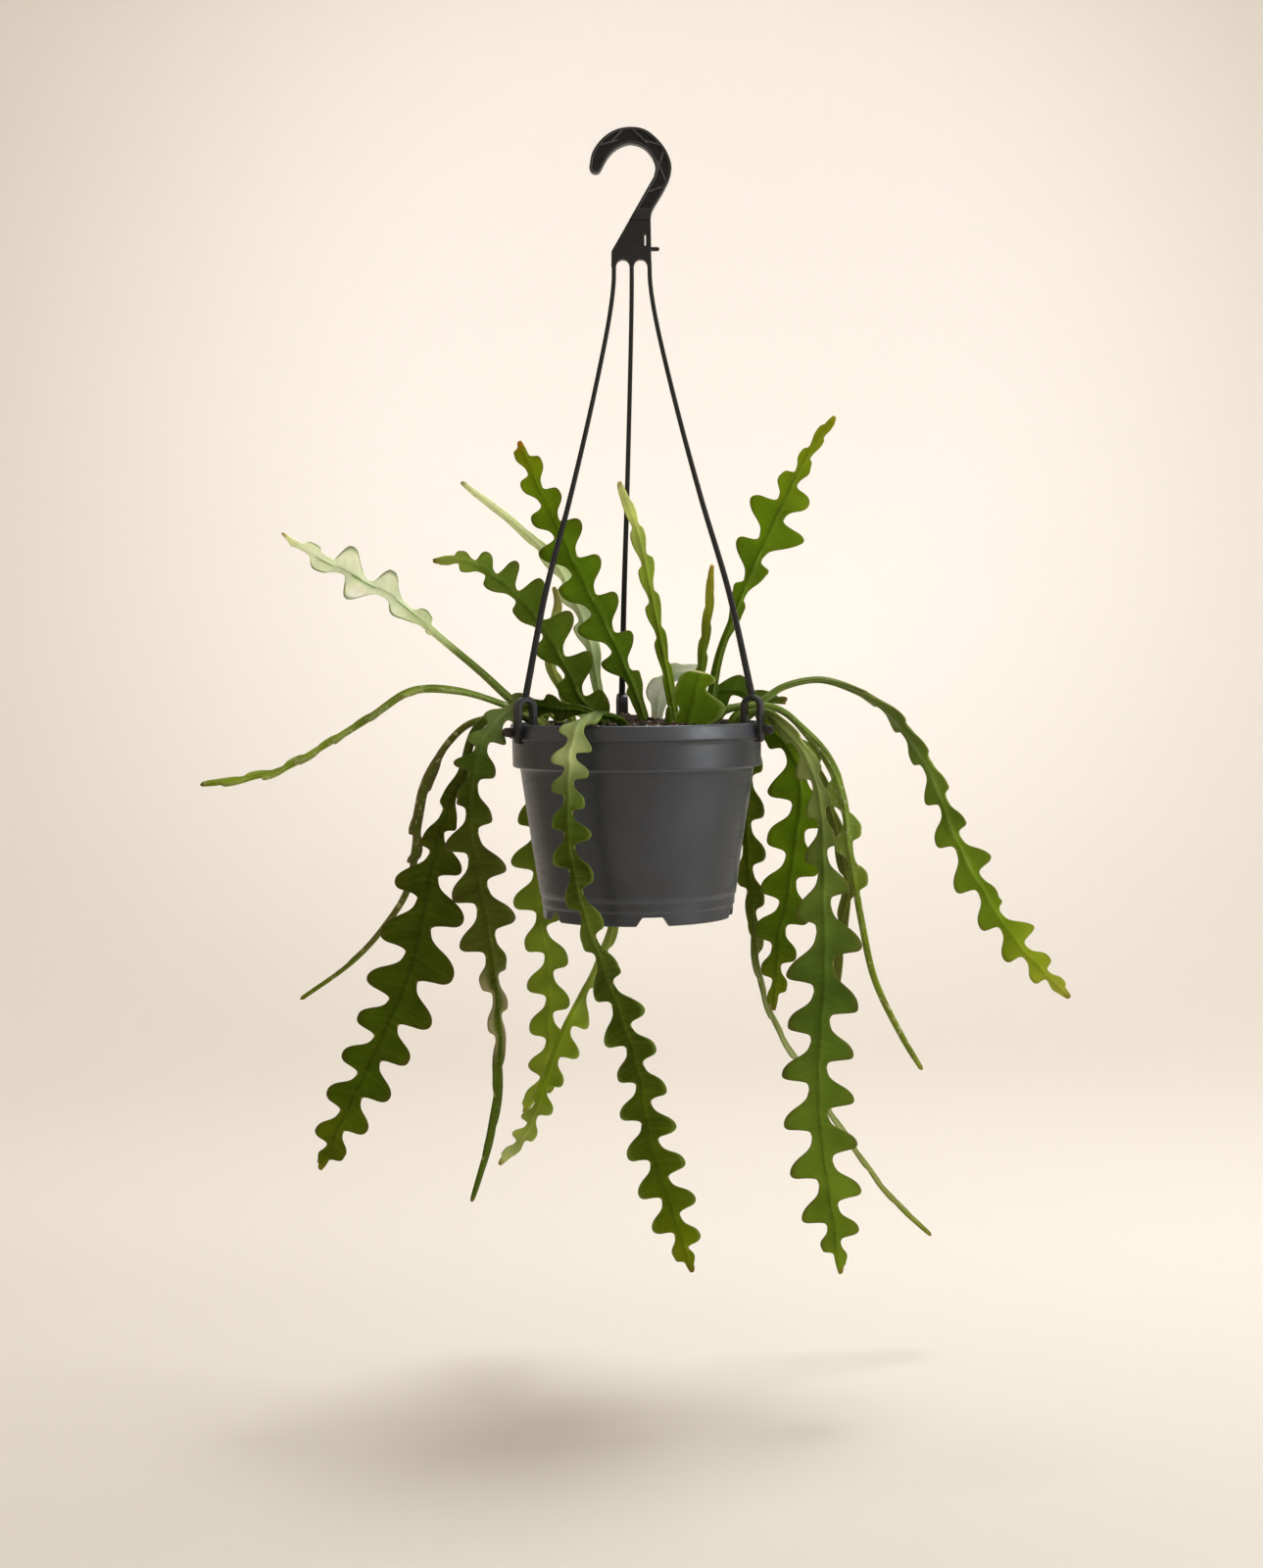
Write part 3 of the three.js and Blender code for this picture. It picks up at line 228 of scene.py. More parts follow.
                (0.592, 2.1), (0.7, 2.1), (0.75, 2), (0.77, 2), (0.85, 3.1), (0.87, 2), (1, 1.3))),
        thick=1.2),
    "stem_left_broad": dict(
        path=((-46, -15, -14), (-60, -12, 1), (-75, -9, 6), (-87, -7, 3), (-95, -6, -5), (-103, -8, -30),
              (-113, -10, -54), (-120, -12, -81), (-126, -14, -112), (-133, -16, -142), (-145, -19, -171),
              (-160, -21, -203), (-176, -24, -235), (-187, -26, -259)),
        across=((0, 0.3, 1, -0.5), (0.2, 0.8, 0.4, -0.3), (0.3, 1, 0, -0.3)),
        lobes=(((0.268, 5.4), (0.346, 8.1), (0.422, 17.3), (0.51, 24), (0.607, 25.4), (0.692, 23.4),
                (0.763, 20.1), (0.834, 19.3), (0.905, 15.8), (0.962, 10)),
               ((0.307, 5.7), (0.384, 9.1), (0.461, 19.8), (0.558, 22.6), (0.656, 22.6), (0.727, 18.3),
                (0.798, 17.5), (0.87, 15.9), (0.941, 12.1), (0.983, 3.8))),
        fall=0.91),
    "stem_left_front": dict(
        path=((-13, -36, -14), (-18, -36, 0), (-31, -35, 7.5), (-45, -31, 9), (-58, -25, 11),
              (-71, -22, 9), (-80, -23, 2), (-87, -27, -7), (-92, -33, -22), (-95, -38, -42),
              (-93, -39, -74), (-85, -43, -123), (-81, -47, -159), (-80, -51, -191), (-84, -55, -229),
              (-96, -60, -270)),
        across=((0, -0.7, 0, -0.7), (0.15, 0, 0, -1), (0.3, 1, -0.2, -0.3), (0.55, 1, 0, 0),
                (0.75, 0.8, 0.6, 0), (1, 0.6, 0.8, 0)),
        lobes=(((0.12, 7), (0.165, 8), (0.208, 8.5), (0.256, 12.2), (0.321, 12.2), (0.397, 12),
                (0.481, 16.6), (0.562, 16.8), (0.632, 7.6), (0.692, 6.6), (0.76, 4.2), (0.85, 3.6),
                (0.95, 2.4)),
               ((0.14, 7.5), (0.19, 8.4), (0.235, 8.8), (0.275, 9.6), (0.314, 13.6), (0.368, 8),
                (0.436, 17.2), (0.514, 17.2), (0.595, 17.8), (0.66, 8.8), (0.725, 7), (0.8, 4),
                (0.9, 3.2))),
        stalk=((0, 3), (0.2, 3.4), (0.32, 3.4), (0.42, 3), (0.5, 2.4), (1, 2.2)),
        fall=0.84),
    "stem_behind_left": dict(
        path=((-40, 40, -14), (-47, 47, 0), (-54, 53, 5), (-59, 58, -3), (-61, 60, -15), (-62, 61, -63),
              (-61, 67, -119), (-56, 70, -150), (-56, 73, -183), (-59, 77, -222), (-73, 80, -249)),
        across=((0, 0.7, 0.7, 0), (0.2, 1, 0, 0)),
        lobes=(((0.166, 4), (0.262, 9.4), (0.357, 12.9), (0.449, 15), (0.547, 13), (0.647, 12),
                (0.738, 12.6), (0.83, 11.5), (0.92, 8.5)),
               ((0.142, 3), (0.238, 8.3), (0.333, 11.8), (0.426, 16.6), (0.514, 16.2), (0.605, 13.5),
                (0.702, 14.6), (0.796, 12.8), (0.889, 11.9), (0.972, 5))),
        waist=0.17),
    "stem_behind_crossing": dict(
        path=((-24, 52, -14), (-25, 61, 3), (-26, 69, 6), (-26, 77, 2), (-24, 82, -9), (-20, 83, -30),
              (-16, 80, -70), (-15, 76, -104), (-17, 71, -131), (-26, 60, -154), (-35, 53, -170),
              (-46, 44, -190), (-56, 38, -215), (-70, 33, -252), (-86, 30, -270)),
        across=((0, 1, 0, 0), (0.6, 1, 0.3, -0.5)),
        lobes=(((0.33, 4.6), (0.43, 4.8), (0.529, 4.9), (0.61, 4), (0.697, 13.2), (0.761, 15),
                (0.82, 11.5), (0.875, 10.9), (0.928, 6.8), (0.965, 3.2)),
               ((0.35, 4.6), (0.48, 4.4), (0.6, 2.4), (0.7, 2.2), (0.8, 2.6), (0.855, 4.5), (0.897, 7.5),
                (0.937, 8), (0.977, 4.3)))),
    "stem_front": dict(
        path=((-5, -40, -14), (-8, -45, 1), (-15, -54, 5), (-22, -62, 6), (-28, -71, 4), (-33, -78, -2),
              (-36, -80, -11), (-38, -80, -42), (-38, -79, -64), (-31, -78, -100), (-17, -75, -142),
              (-1, -73, -190), (7, -70, -236), (20, -68, -281), (29, -66, -310)),
        across=((0, 1, -0.3, 0), (0.3, 1, 0, 0)),
        lobes=(((0.13, 8), (0.185, 11.6), (0.224, 11), (0.268, 9), (0.315, 13), (0.38, 10.4), (0.451, 9),
                (0.524, 8.4), (0.596, 13.9), (0.655, 12.7), (0.714, 13.3), (0.773, 15.5), (0.833, 15.5),
                (0.892, 15), (0.951, 11.1), (0.989, 2.2)),
               ((0.118, 7), (0.165, 9.5), (0.206, 10.6), (0.245, 9.5), (0.298, 9), (0.348, 10.4),
                (0.412, 8.2), (0.475, 6.6), (0.553, 10.4), (0.626, 14.2), (0.685, 12.7), (0.744, 15.1),
                (0.803, 15.5), (0.862, 15.5), (0.921, 14.2), (0.97, 7.2)))),
    "stem_behind_right": dict(
        path=((45, 38, -14), (51, 42, 3), (57.5, 46, 7), (63.5, 49, 5), (67.5, 51, -4), (68, 51, -16),
              (68, 50, -40), (67, 49, -75), (70, 52, -113), (74, 56, -157), (82, 58, -184),
              (96, 60, -210), (122, 64, -251), (155, 69, -299), (183, 72, -327)),
        across=((0, 0.7, -0.7, 0), (0.2, 1, 0, 0), (0.4, 1, 0, 0), (0.5, 0.3, 1, 0), (1, 0.3, 1, 0.2)),
        lobes=(((0.171, 9.1), (0.24, 10.7), (0.309, 11.5), (0.378, 8.1), (0.448, 7), (0.517, 6.7),
                (0.587, 6.5), (0.657, 6.2), (0.726, 5.7), (0.796, 4.9), (0.866, 4.2), (0.935, 3.4)),
               ((0.137, 6.8), (0.206, 9.9), (0.274, 11.4), (0.344, 8), (0.413, 3.4), (0.482, 5.4),
                (0.552, 6.6), (0.622, 6.3), (0.691, 6), (0.761, 5.3), (0.831, 4.5), (0.9, 3.8),
                (0.97, 2.9)))),
    "stem_right_bright": dict(
        path=((53, 32, -14), (59, 33, 2), (66, 35, 5.5), (73, 37, 4.5), (82, 38, -5), (90, 38, -15),
              (97, 39, -28), (99, 39, -51), (95, 38, -79), (90, 36, -112), (85, 34, -132), (84, 33, -149),
              (82, 32, -177)),
        across=((0, 0.2, -1, 0), (0.25, 1, -0.3, 0), (0.35, 1, 0, 0.2)),
        lobes=(((0.14, 4.9), (0.316, 15.3), (0.469, 21.8), (0.606, 17), (0.734, 16), (0.854, 11.8),
                (0.936, 7)),
               ((0.228, 9.4), (0.396, 19.9), (0.539, 17.1), (0.674, 16.9), (0.794, 15.1), (0.895, 9.2),
                (0.977, 4.2))),
        fall=0.87),
    "stem_right_front": dict(
        path=((50, -15, -14), (59, -16, 2), (70, -17, 6), (77, -18, 5), (84, -20, -1), (91, -22, -9),
              (98, -25, -19), (105, -28, -42), (107, -29, -69), (107, -31, -99), (107, -34, -141),
              (103, -37, -202), (104, -39, -235), (108, -41, -267), (115, -44, -318)),
        across=((0, 0.2, -1, 0), (0.1, 0.5, -0.8, 0.5), (0.25, 1, -0.1, 0.3), (0.35, 1, 0, 0)),
        lobes=(((0.15, 4.6), (0.212, 5.8), (0.265, 6.4), (0.326, 7.6), (0.398, 15), (0.488, 22),
                (0.582, 21.1), (0.656, 20.3), (0.73, 20.8), (0.803, 20.6), (0.877, 18.9), (0.938, 14.3),
                (0.983, 4)),
               ((0.147, 7.2), (0.217, 10.6), (0.281, 8.8), (0.351, 10.4), (0.438, 16), (0.536, 21.8),
                (0.616, 18.8), (0.689, 20.9), (0.763, 20.7), (0.836, 20.5), (0.91, 17.5), (0.958, 8.5))),
        fall=0.83),
    "stem_right_arch": dict(
        path=((40, -12, -14), (44, -11, 1), (56, -8, 8), (77, -6, 9), (87, -4, 5), (96, -3, -3),
              (112, -1, -22), (121, 1, -43), (126, 4, -80), (133, 8, -120), (141, 11, -155),
              (157, 14, -189), (170, 16, -211)),
        across=((0, 0, -1, 0), (0.22, 0.2, -1, 0), (0.34, 1, -0.2, 0.1), (0.62, 1, -0.2, 0.1),
                (1, 0.7, -0.7, 0)),
        edges=(((0, 3), (0.2, 3.2), (0.34, 3.1), (0.385, 2.6), (0.41, 2.3), (0.43, 2.3), (0.445, 3),
                (0.46, 6), (0.478, 8.6), (0.492, 8), (0.503, 4.5), (0.512, 2.4), (0.53, 2.2),
                (0.545, 2.6), (0.56, 6), (0.577, 8.6), (0.592, 8), (0.604, 4), (0.615, 2.2), (0.9, 1.9),
                (1, 0.9)),
               ((0, 3), (0.2, 3.2), (0.33, 3.2), (0.36, 4.2), (0.382, 6.8), (0.402, 9.4), (0.416, 9.8),
                (0.428, 7.8), (0.437, 4.4), (0.446, 2.7), (0.46, 2.2), (0.474, 2.5), (0.486, 4.6),
                (0.498, 7.6), (0.51, 8.8), (0.522, 7.8), (0.533, 4.2), (0.545, 2.3), (0.56, 2.1),
                (0.577, 2.1), (0.592, 2), (0.615, 2), (0.9, 1.9), (1, 0.9))),
        thick=1.35),
    "stem_right_far": dict(
        path=((50, 7, -14), (60, 6, 2), (76, 5, 13), (87, 4, 20), (108, 2, 24), (128, -3, 18),
              (146, -7, 7), (158, -11, -7), (172, -17, -32), (186, -25, -71), (201, -33, -101),
              (217, -39, -127), (246, -48, -158)),
        across=((0, 0, -1, 0), (0.28, 0.15, -1, 0.1), (0.42, 0.6, -0.8, 0.2), (0.6, 0.85, -0.5, 0.3),
                (0.75, 0.9, -0.2, 0.5)),
        lobes=(((0.22, 5), (0.312, 6.4), (0.399, 6.4), (0.47, 6.2), (0.546, 6.8), (0.618, 8.8),
                (0.702, 13.7), (0.776, 5.8), (0.857, 13.7), (0.926, 8.1), (0.972, 4.6)),
               ((0.26, 5.4), (0.34, 7.6), (0.406, 8.6), (0.477, 8.4), (0.56, 11.2), (0.638, 13),
                (0.727, 14.2), (0.808, 12.8), (0.875, 12), (0.937, 8.6), (0.98, 3))),
        stalk=((0, 3), (0.2, 3.2), (0.35, 3.8), (0.5, 3.5), (0.62, 2.4), (1, 2.2)),
        fall=0.85, thick=1.3),
    "stem_right_narrow": dict(
        path=((55, 24, -14), (62, 24, 3), (70, 24, 6.5), (77, 23, 4), (84, 22, -2), (103, 20, -21),
              (117, 22, -56), (124, 24, -85), (127, 25, -104), (123, 26, -122), (121, 28, -142),
              (117, 30, -179)),
        across=((0, 0.2, -1, 0), (0.3, 1, -0.5, 0.3)),
        lobes=(((0.3, 3.7), (0.42, 4.5), (0.54, 4.9), (0.66, 4.7), (0.78, 4.5), (0.9, 3.6)),
               ((0.24, 3.3), (0.36, 4.1), (0.48, 4.9), (0.6, 4.8), (0.72, 4.6), (0.84, 4.1),
                (0.96, 2.6)))),
}

# ---------------------------------------------------------------- helpers
def place(points):
    """Millimetres from the middle of the rim, turned into metres in the row's frame."""
    points = np.asarray(points, float)
    return (points + (0, 0, -HANG_DROP)) * MM


def linear(red, green, blue):
    """A colour given as 8-bit sRGB, in the linear values that shaders take."""
    value = np.array([red, green, blue]) / 255
    return np.where(value <= 0.04045, value / 12.92, ((value + 0.055) / 1.055) ** 2.4)


def smooth(low, high, value):
    """From 0 at low to 1 at high, with soft ends; low may be the larger."""
    part = np.clip((np.asarray(value, float) - low) / (high - low), 0, 1)
    return part * part * (3 - 2 * part)


def table_at(table, t):
    """A table of (t, value, ...) rows read at every t, straight between rows."""
    rows = np.array(table, float)
    return np.stack([np.interp(t, rows[:, 0], column) for column in rows[:, 1:].T], -1)


def waves(x, y, seed, size, count=9):
    """A smooth random relief of about +-1 from sine waves of the given size."""
    source = np.random.default_rng(seed)
    total = np.zeros(np.broadcast(x, y).shape)
    for _ in range(count):
        turn, phase = source.uniform(0, 2 * math.pi, 2)
        pitch = 2 * math.pi / (size * source.uniform(0.6, 1.7))
        total += np.sin((x * math.cos(turn) + y * math.sin(turn)) * pitch + phase)
    return total / math.sqrt(count)


def spline(points, samples):
    """Centripetal Catmull-Rom curve through the points, as the solids use."""
    points = np.asarray(points, float)
    last = len(points) - 1
    padded = np.vstack([2 * points[0] - points[1], points, 2 * points[-1] - points[-2]])
    param = np.linspace(0, last, samples)
    index = np.minimum(param.astype(int), last - 1)
    weight = (param - index)[:, None]
    p0, p1, p2, p3 = (padded[index + k] for k in range(4))
    gap = [np.sqrt(np.linalg.norm(b - a, axis=1))[:, None] for a, b in ((p0, p1), (p1, p2), (p2, p3))]
    t1 = ((p1 - p0) / gap[0] - (p2 - p0) / (gap[0] + gap[1]) + (p2 - p1) / gap[1]) * gap[1]
    t2 = ((p2 - p1) / gap[1] - (p3 - p1) / (gap[1] + gap[2]) + (p3 - p2) / gap[2]) * gap[1]
    square = -3 * p1 + 3 * p2 - 2 * t1 - t2
    cube = 2 * p1 - 2 * p2 + t1 + t2
    return p1 + t1 * weight + square * weight**2 + cube * weight**3


def even(points, step):
    """The same line with points a fixed step apart, and how far along each one is."""
    run = np.concatenate([[0], np.cumsum(np.linalg.norm(np.diff(points, axis=0), axis=1))])
    count = max(2, int(round(run[-1] / step)) + 1)
    along = np.linspace(0, run[-1], count)
    return np.stack([np.interp(along, run, column) for column in points.T], -1), along


def round_turns(count):
    """Evenly spaced angles once round."""
    return np.linspace(0, 2 * math.pi, count, endpoint=False)


def unit(vectors):
    return vectors / np.linalg.norm(vectors, axis=-1, keepdims=True)


def blur(values, width):
    """Running mean along the first axis, its ends held."""
    width = int(width) | 1
    half = width // 2
    padded = np.concatenate([np.repeat(values[:1], half, 0), values, np.repeat(values[-1:], half, 0)])
    total = np.cumsum(np.concatenate([np.zeros_like(padded[:1]), padded]), axis=0)
    return (total[width:] - total[:-width]) / width


def add_mesh(name, points, faces, material, uv=None, tint=None, flat=False):
    """A mesh piece from points in millimetres, which rides on the plant."""
    mesh = bpy.data.meshes.new(name)
    mesh.from_pydata([tuple(p) for p in place(points)], [], [tuple(int(i) for i in f) for f in faces])
    mesh.validate()
    if uv is not None:
        layer = mesh.uv_layers.new(name="UVMap")
        corners = np.zeros(len(mesh.loops), int)
        mesh.loops.foreach_get("vertex_index", corners)
        layer.data.foreach_set("uv", np.asarray(uv, float)[corners].ravel())
    if tint is not None:
        colour = mesh.color_attributes.new("tint", "FLOAT_COLOR", "POINT")
        tint = np.asarray(tint, float)
        four = np.ones((len(mesh.vertices), 4))
        four[:, :3] = tint[:, None] if tint.ndim == 1 else tint
        colour.data.foreach_set("color", four.ravel())
    mesh.polygons.foreach_set("use_smooth", [not flat] * len(mesh.polygons))
    mesh.materials.append(material)
    mesh.update()
    piece = bpy.data.objects.new(name, mesh)
    scene.collection.objects.link(piece)
    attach(piece, "root")
    return piece


def grid_faces(rows, columns, closed=False):
    """Quads of a grid of points, row after row; closed joins the last column to the first."""
    a = np.arange(rows - 1)[:, None] * columns
    k = np.arange(columns if closed else columns - 1)[None, :]
    after = (k + 1) % columns
    return np.stack([a + k, a + after, a + columns + after, a + columns + k], -1).reshape(-1, 4)


def tube_faces(rows, sides):
    """Quads of a tube of points, ring after ring, and a face over each end."""
    ends = [range(sides)[::-1], range((rows - 1) * sides, rows * sides)]
    return [tuple(face) for face in (*grid_faces(rows, sides, closed=True), *ends)]


# ---------------------------------------------------------------- materials
class Nodes:
    """A material with its Principled shader and short calls for its pattern nodes."""

    def __init__(self, name, colour, roughness, **sockets):
        self.material = bpy.data.materials.new(name)
        self.material.use_nodes = True
        self.tree = self.material.node_tree
        self.shader = self.tree.nodes["Principled BSDF"]
        self.shader.inputs["Base Color"].default_value = (*colour, 1)
        self.shader.inputs["Roughness"].default_value = roughness
        for socket, value in sockets.items():
            self.shader.inputs[socket.replace("_", " ")].default_value = value
        self.where = self.add("ShaderNodeTexCoord").outputs["Object"]

    def add(self, kind, **settings):
        node = self.tree.nodes.new(kind)
        for key, value in settings.items():
            setattr(node, key, value)
        return node

    def link(self, source, target):
        self.tree.links.new(source, target)

    def noise(self, scale, detail=3, rough=0.5, where=None, distort=0):
        node = self.add("ShaderNodeTexNoise")
        node.inputs["Scale"].default_value = scale
        node.inputs["Detail"].default_value = detail
        node.inputs["Roughness"].default_value = rough
        node.inputs["Distortion"].default_value = distort
        self.link(where or self.where, node.inputs["Vector"])
        return node.outputs["Fac"]

    def stretched(self, scale, source=None):
        node = self.add("ShaderNodeMapping")
        node.inputs["Scale"].default_value = scale
        self.link(source or self.where, node.inputs["Vector"])
        return node.outputs["Vector"]

    def painted(self):
        """The tint painted on the mesh."""
        return self.add("ShaderNodeAttribute", attribute_name="tint").outputs["Color"]

    def ramp(self, value, low, high, out_low=0.0, out_high=1.0):
        node = self.add("ShaderNodeMapRange", interpolation_type="SMOOTHSTEP")
        ends = {"From Min": low, "From Max": high, "To Min": out_low, "To Max": out_high}
        for key, number in ends.items():
            node.inputs[key].default_value = number
        self.link(value, node.inputs["Value"])
        return node.outputs["Result"]

    def mix(self, factor, first, second, blend="MIX"):
        node = self.add("ShaderNodeMix", data_type="RGBA", blend_type=blend)
        for value, socket in ((factor, "Factor"), (first, "A"), (second, "B")):
            self.put(value, node.inputs[socket])
        return node.outputs["Result"]

    def layer(self, below, colour, mask, amount, blend="MIX"):
        """A colour laid over another where the mask is bright, and by no more than the amount."""
        return self.mix(self.math("MULTIPLY", mask, amount), below, colour, blend)

    def math(self, operation, first, second):
        node = self.add("ShaderNodeMath", operation=operation)
        self.put(first, node.inputs[0])
        self.put(second, node.inputs[1])
        return node.outputs[0]

    def put(self, value, socket):
        if isinstance(value, bpy.types.NodeSocket):
            self.link(value, socket)
        elif np.ndim(value):
            socket.default_value = (*value, 1)
        else:
            socket.default_value = value

    def bump(self, height, strength, distance, normal=None):
        node = self.add("ShaderNodeBump")
        node.inputs["Strength"].default_value = strength
        node.inputs["Distance"].default_value = distance
        self.link(height, node.inputs["Height"])
        if normal:
            self.link(normal, node.inputs["Normal"])
        return node.outputs["Normal"]

    def finish(self, colour=None, roughness=None, normal=None):
        for value, socket in ((colour, "Base Color"), (roughness, "Roughness"), (normal, "Normal")):
            if value is not None:
                self.link(value, self.shader.inputs[socket])
        return self.material


LEAF_BASE = (0.06, 0.14, 0.02)
LEAF_SHADE = (0.62, 0.66, 0.5)  # the tint is multiplied by this in cloudy patches
CRUST = (0.5, 0.48, 0.27)
DOT = (0.42, 0.48, 0.18)
VEIN_SIZE = (55, 420, 1)        # streaks across a lobe and flakes along it, in the mesh's own metres
FLAKE_SIZE = (420, 170, 1)


def stem_material(name, speckle, roughness, bump, gloss, veining, vein_colour, crust):
    """Waxy skin: painted tints, soft mottling, fine pale dots, slanting veins and patches of crust."""
    nodes = Nodes(name, LEAF_BASE, roughness, Specular_IOR_Level=gloss)
    nodes.shader.inputs["Specular Tint"].default_value = (1, 1, 0.3, 1)
    tint = nodes.painted()
    uv = nodes.add("ShaderNodeUVMap", uv_map="UVMap").outputs["UV"]
    cloud = nodes.ramp(nodes.noise(55, 4, 0.55), 0.3, 0.72)
    look = nodes.layer(tint, LEAF_SHADE, cloud, 0.45, "MULTIPLY")
    veins = nodes.noise(1.0, 3, 0.6, nodes.stretched(VEIN_SIZE, uv))
    look = nodes.layer(look, vein_colour, nodes.ramp(veins, 0.42, 0.7), veining)
    flakes = nodes.ramp(nodes.noise(1.0, 3, 0.65, nodes.stretched(FLAKE_SIZE, uv)), 0.56, 0.66)
    look = nodes.layer(look, CRUST, flakes, crust)
    dots = nodes.ramp(nodes.noise(1500, 1, 0.4), 0.66, 0.78)
    look = nodes.layer(look, DOT, dots, speckle)
    rough = nodes.ramp(nodes.noise(240, 3), 0.3, 0.75, roughness - 0.07, roughness + 0.12)
    nodes.shader.inputs["Subsurface Weight"].default_value = 0.2
    nodes.shader.inputs["Subsurface Radius"].default_value = (0.0012, 0.0026, 0.0006)
    nodes.shader.inputs["Subsurface Scale"].default_value = 1.0
    pores = nodes.bump(nodes.noise(1100, 2), bump, 0.0002)
    return nodes.finish(look, rough, nodes.bump(veins, bump * 0.7, 0.0006, pores))


stem_skin = stem_material("stem_skin", 0.16, 0.38, 0.4, 0.14, 0.05, (0.34, 0.46, 0.06), 0.0)
pale_skin = stem_material("pale_skin", 0.12, 0.5, 0.6, 0.2, 0.16, (0.34, 0.46, 0.2), 0.0)
corky_skin = stem_material("corky_skin", 0.3, 0.6, 0.95, 0.16, 0.1, (0.2, 0.24, 0.05), 0.55)


def plastic(name, colour, light, roughness, grain, gloss):
    """Moulded plastic: faint clouding, dust that lightens it, fine grain and a few rubbed patches.

    Its mesh tint gives painted shade in hollows and paler edges, partly wear, partly painted highlight."""
    nodes = Nodes(name, colour, roughness, Specular_IOR_Level=gloss)
    cloud = nodes.ramp(nodes.noise(22, 5, 0.6), 0.35, 0.8)
    look = nodes.layer(colour, light, cloud, 0.3)
    specks = nodes.ramp(nodes.noise(2600, 1), 0.72, 0.8)
    look = nodes.layer(look, light * 2.2, specks, 0.25)
    # painted shade in hollows and paler edges, partly wear and partly painted highlight, from the mesh's tint
    wear_and_painted_light = nodes.painted()
    look = nodes.mix(1.0, look, wear_and_painted_light, "MULTIPLY")
    rubbed = nodes.ramp(nodes.noise(1.0, 4, 0.7, nodes.stretched((60, 60, 420))), 0.45, 0.8)
    rough = nodes.math("ADD", roughness - 0.06, nodes.math("MULTIPLY", rubbed, 0.16))
    return nodes.finish(look, rough, nodes.bump(nodes.noise(2200, 2), grain, 0.0001))


pot_plastic = plastic("pot_plastic", linear(42, 44, 48), linear(68, 72, 79), 0.42, 0.25, 0.5)
lug_plastic = plastic("lug_plastic", linear(46, 40, 34), linear(70, 62, 52), 0.5, 0.3, 0.4)
hanger_plastic = plastic("hanger_plastic", linear(26, 25, 25), linear(42, 42, 43), 0.4, 0.3, 0.32)


def crumb_material(name, dark, light, scale, roughness):
    """Crumbly matter: two colours in clouds and a coarse relief."""
    nodes = Nodes(name, dark, roughness, Specular_IOR_Level=0.25)
    cloud = nodes.ramp(nodes.noise(scale, 5, 0.65), 0.35, 0.68)
    relief = nodes.bump(nodes.noise(scale * 2.3, 4, 0.7), 0.7, 0.0012)
    return nodes.finish(nodes.mix(cloud, dark, light), None, relief)


soil_crumb = crumb_material("soil_crumb", linear(26, 20, 15), linear(70, 55, 42), 420, 0.95)
perlite_skin = crumb_material("perlite_skin", linear(150, 140, 122), linear(214, 206, 190), 900, 0.9)
bark_skin = crumb_material("bark_skin", linear(62, 48, 36), linear(132, 110, 84), 600, 0.85)

# ---------------------------------------------------------------- outline of a stem
OUTLINE_STEP = 1.6      # distance between sections, measured along the longer outline
VEIN_LEAN = 0.33        # how far the slanting veins run towards the tip for each unit outwards
LEAN_ENDS = (14, 7)     # they come to that lean over these lengths from the root and from the tip
ROUND_WAIST = 0.04      # a scalloped stem is this much fuller at its notches
PLAIN_STALK = ((0, STALK_HALF), (0.12, STALK_HALF), (0.35, 2.2))     # least half width, from the root on
LONE_GAP = 0.3          # room along the stem, as a part of it, for a lobe that stands alone
FIRST_LOBE = 0.01       # the first lobe starts no nearer the root than this part of the length
TIP_RUN = 2.5           # the last lobe ends this far from the tip
TIP_HALF = 1.0
TIP_CURVE = 1.7
CRISP = (0.1, 0.22)     # lobes are round scallops below this height for their length, and deep above
LEAST_HALF = 0.5        # a stem whose outline is given is nowhere narrower to one side
LOBE_SAMPLES = 60
# One lobe as (part of its cell along the stem, height), from the notch on the root side to the
# rounded point: a deep lobe draws in below its shoulder, a shallow one is a plain round scallop.
DEEP_RISE = ((0, 0), (0.1, 0.04), (0.19, 0.11), (0.27, 0.25), (0.35, 0.46), (0.42, 0.66), (0.5, 0.83),
             (0.58, 0.94), (0.66, 0.995), (0.72, 1))
ROUND_RISE = ((0, 0), (0.06, 0.13), (0.14, 0.34), (0.23, 0.55), (0.33, 0.74), (0.43, 0.88), (0.52, 0.96),
              (0.61, 1), (0.69, 1), (0.72, 0.99))
ROUND_FALL = ((0.78, 0.95), (0.84, 0.85), (0.885, 0.7), (0.92, 0.52), (0.95, 0.33), (0.97, 0.18),
              (0.985, 0.07), (1, 0))
FALL = 0.885            # where the underside of a deep lobe is half way down, by default


def lobe_form(crisp, fall):
    """The outline of one lobe, between a round scallop (crisp 0) and a deep lobe (crisp 1)."""
    span = fall - LOBE_PEAK
    square = np.array([(LOBE_PEAK + 0.42 * span, 0.985), (LOBE_PEAK + 0.74 * span, 0.89),
                       (fall - 0.014, 0.72), (fall, 0.5), (fall + 0.016, 0.3), (fall + 0.036, 0.14),
                       (min(fall + 0.07, 0.975), 0.04), (1, 0)])
    rising = np.array(ROUND_RISE) * (1 - crisp) + np.array(DEEP_RISE) * crisp
    falling = np.array(ROUND_FALL) * (1 - crisp) + square * crisp
    return np.vstack([rising, falling])


def curve_of(rows, samples):
    """A smooth line through rows of (along, out)."""
    return spline(np.column_stack([rows, 0 * rows[:, 0]]), samples)[:, :2]


def drawn_edge(rows, length):
    """The edge of a stem whose outline is given directly."""
    line = curve_of(np.array(rows, float), 900)
    along = np.linspace(0, length, 1200)
    wide = np.interp(along / length, np.maximum.accumulate(line[:, 0]), line[:, 1])
    return along, np.maximum(wide, LEAST_HALF), []


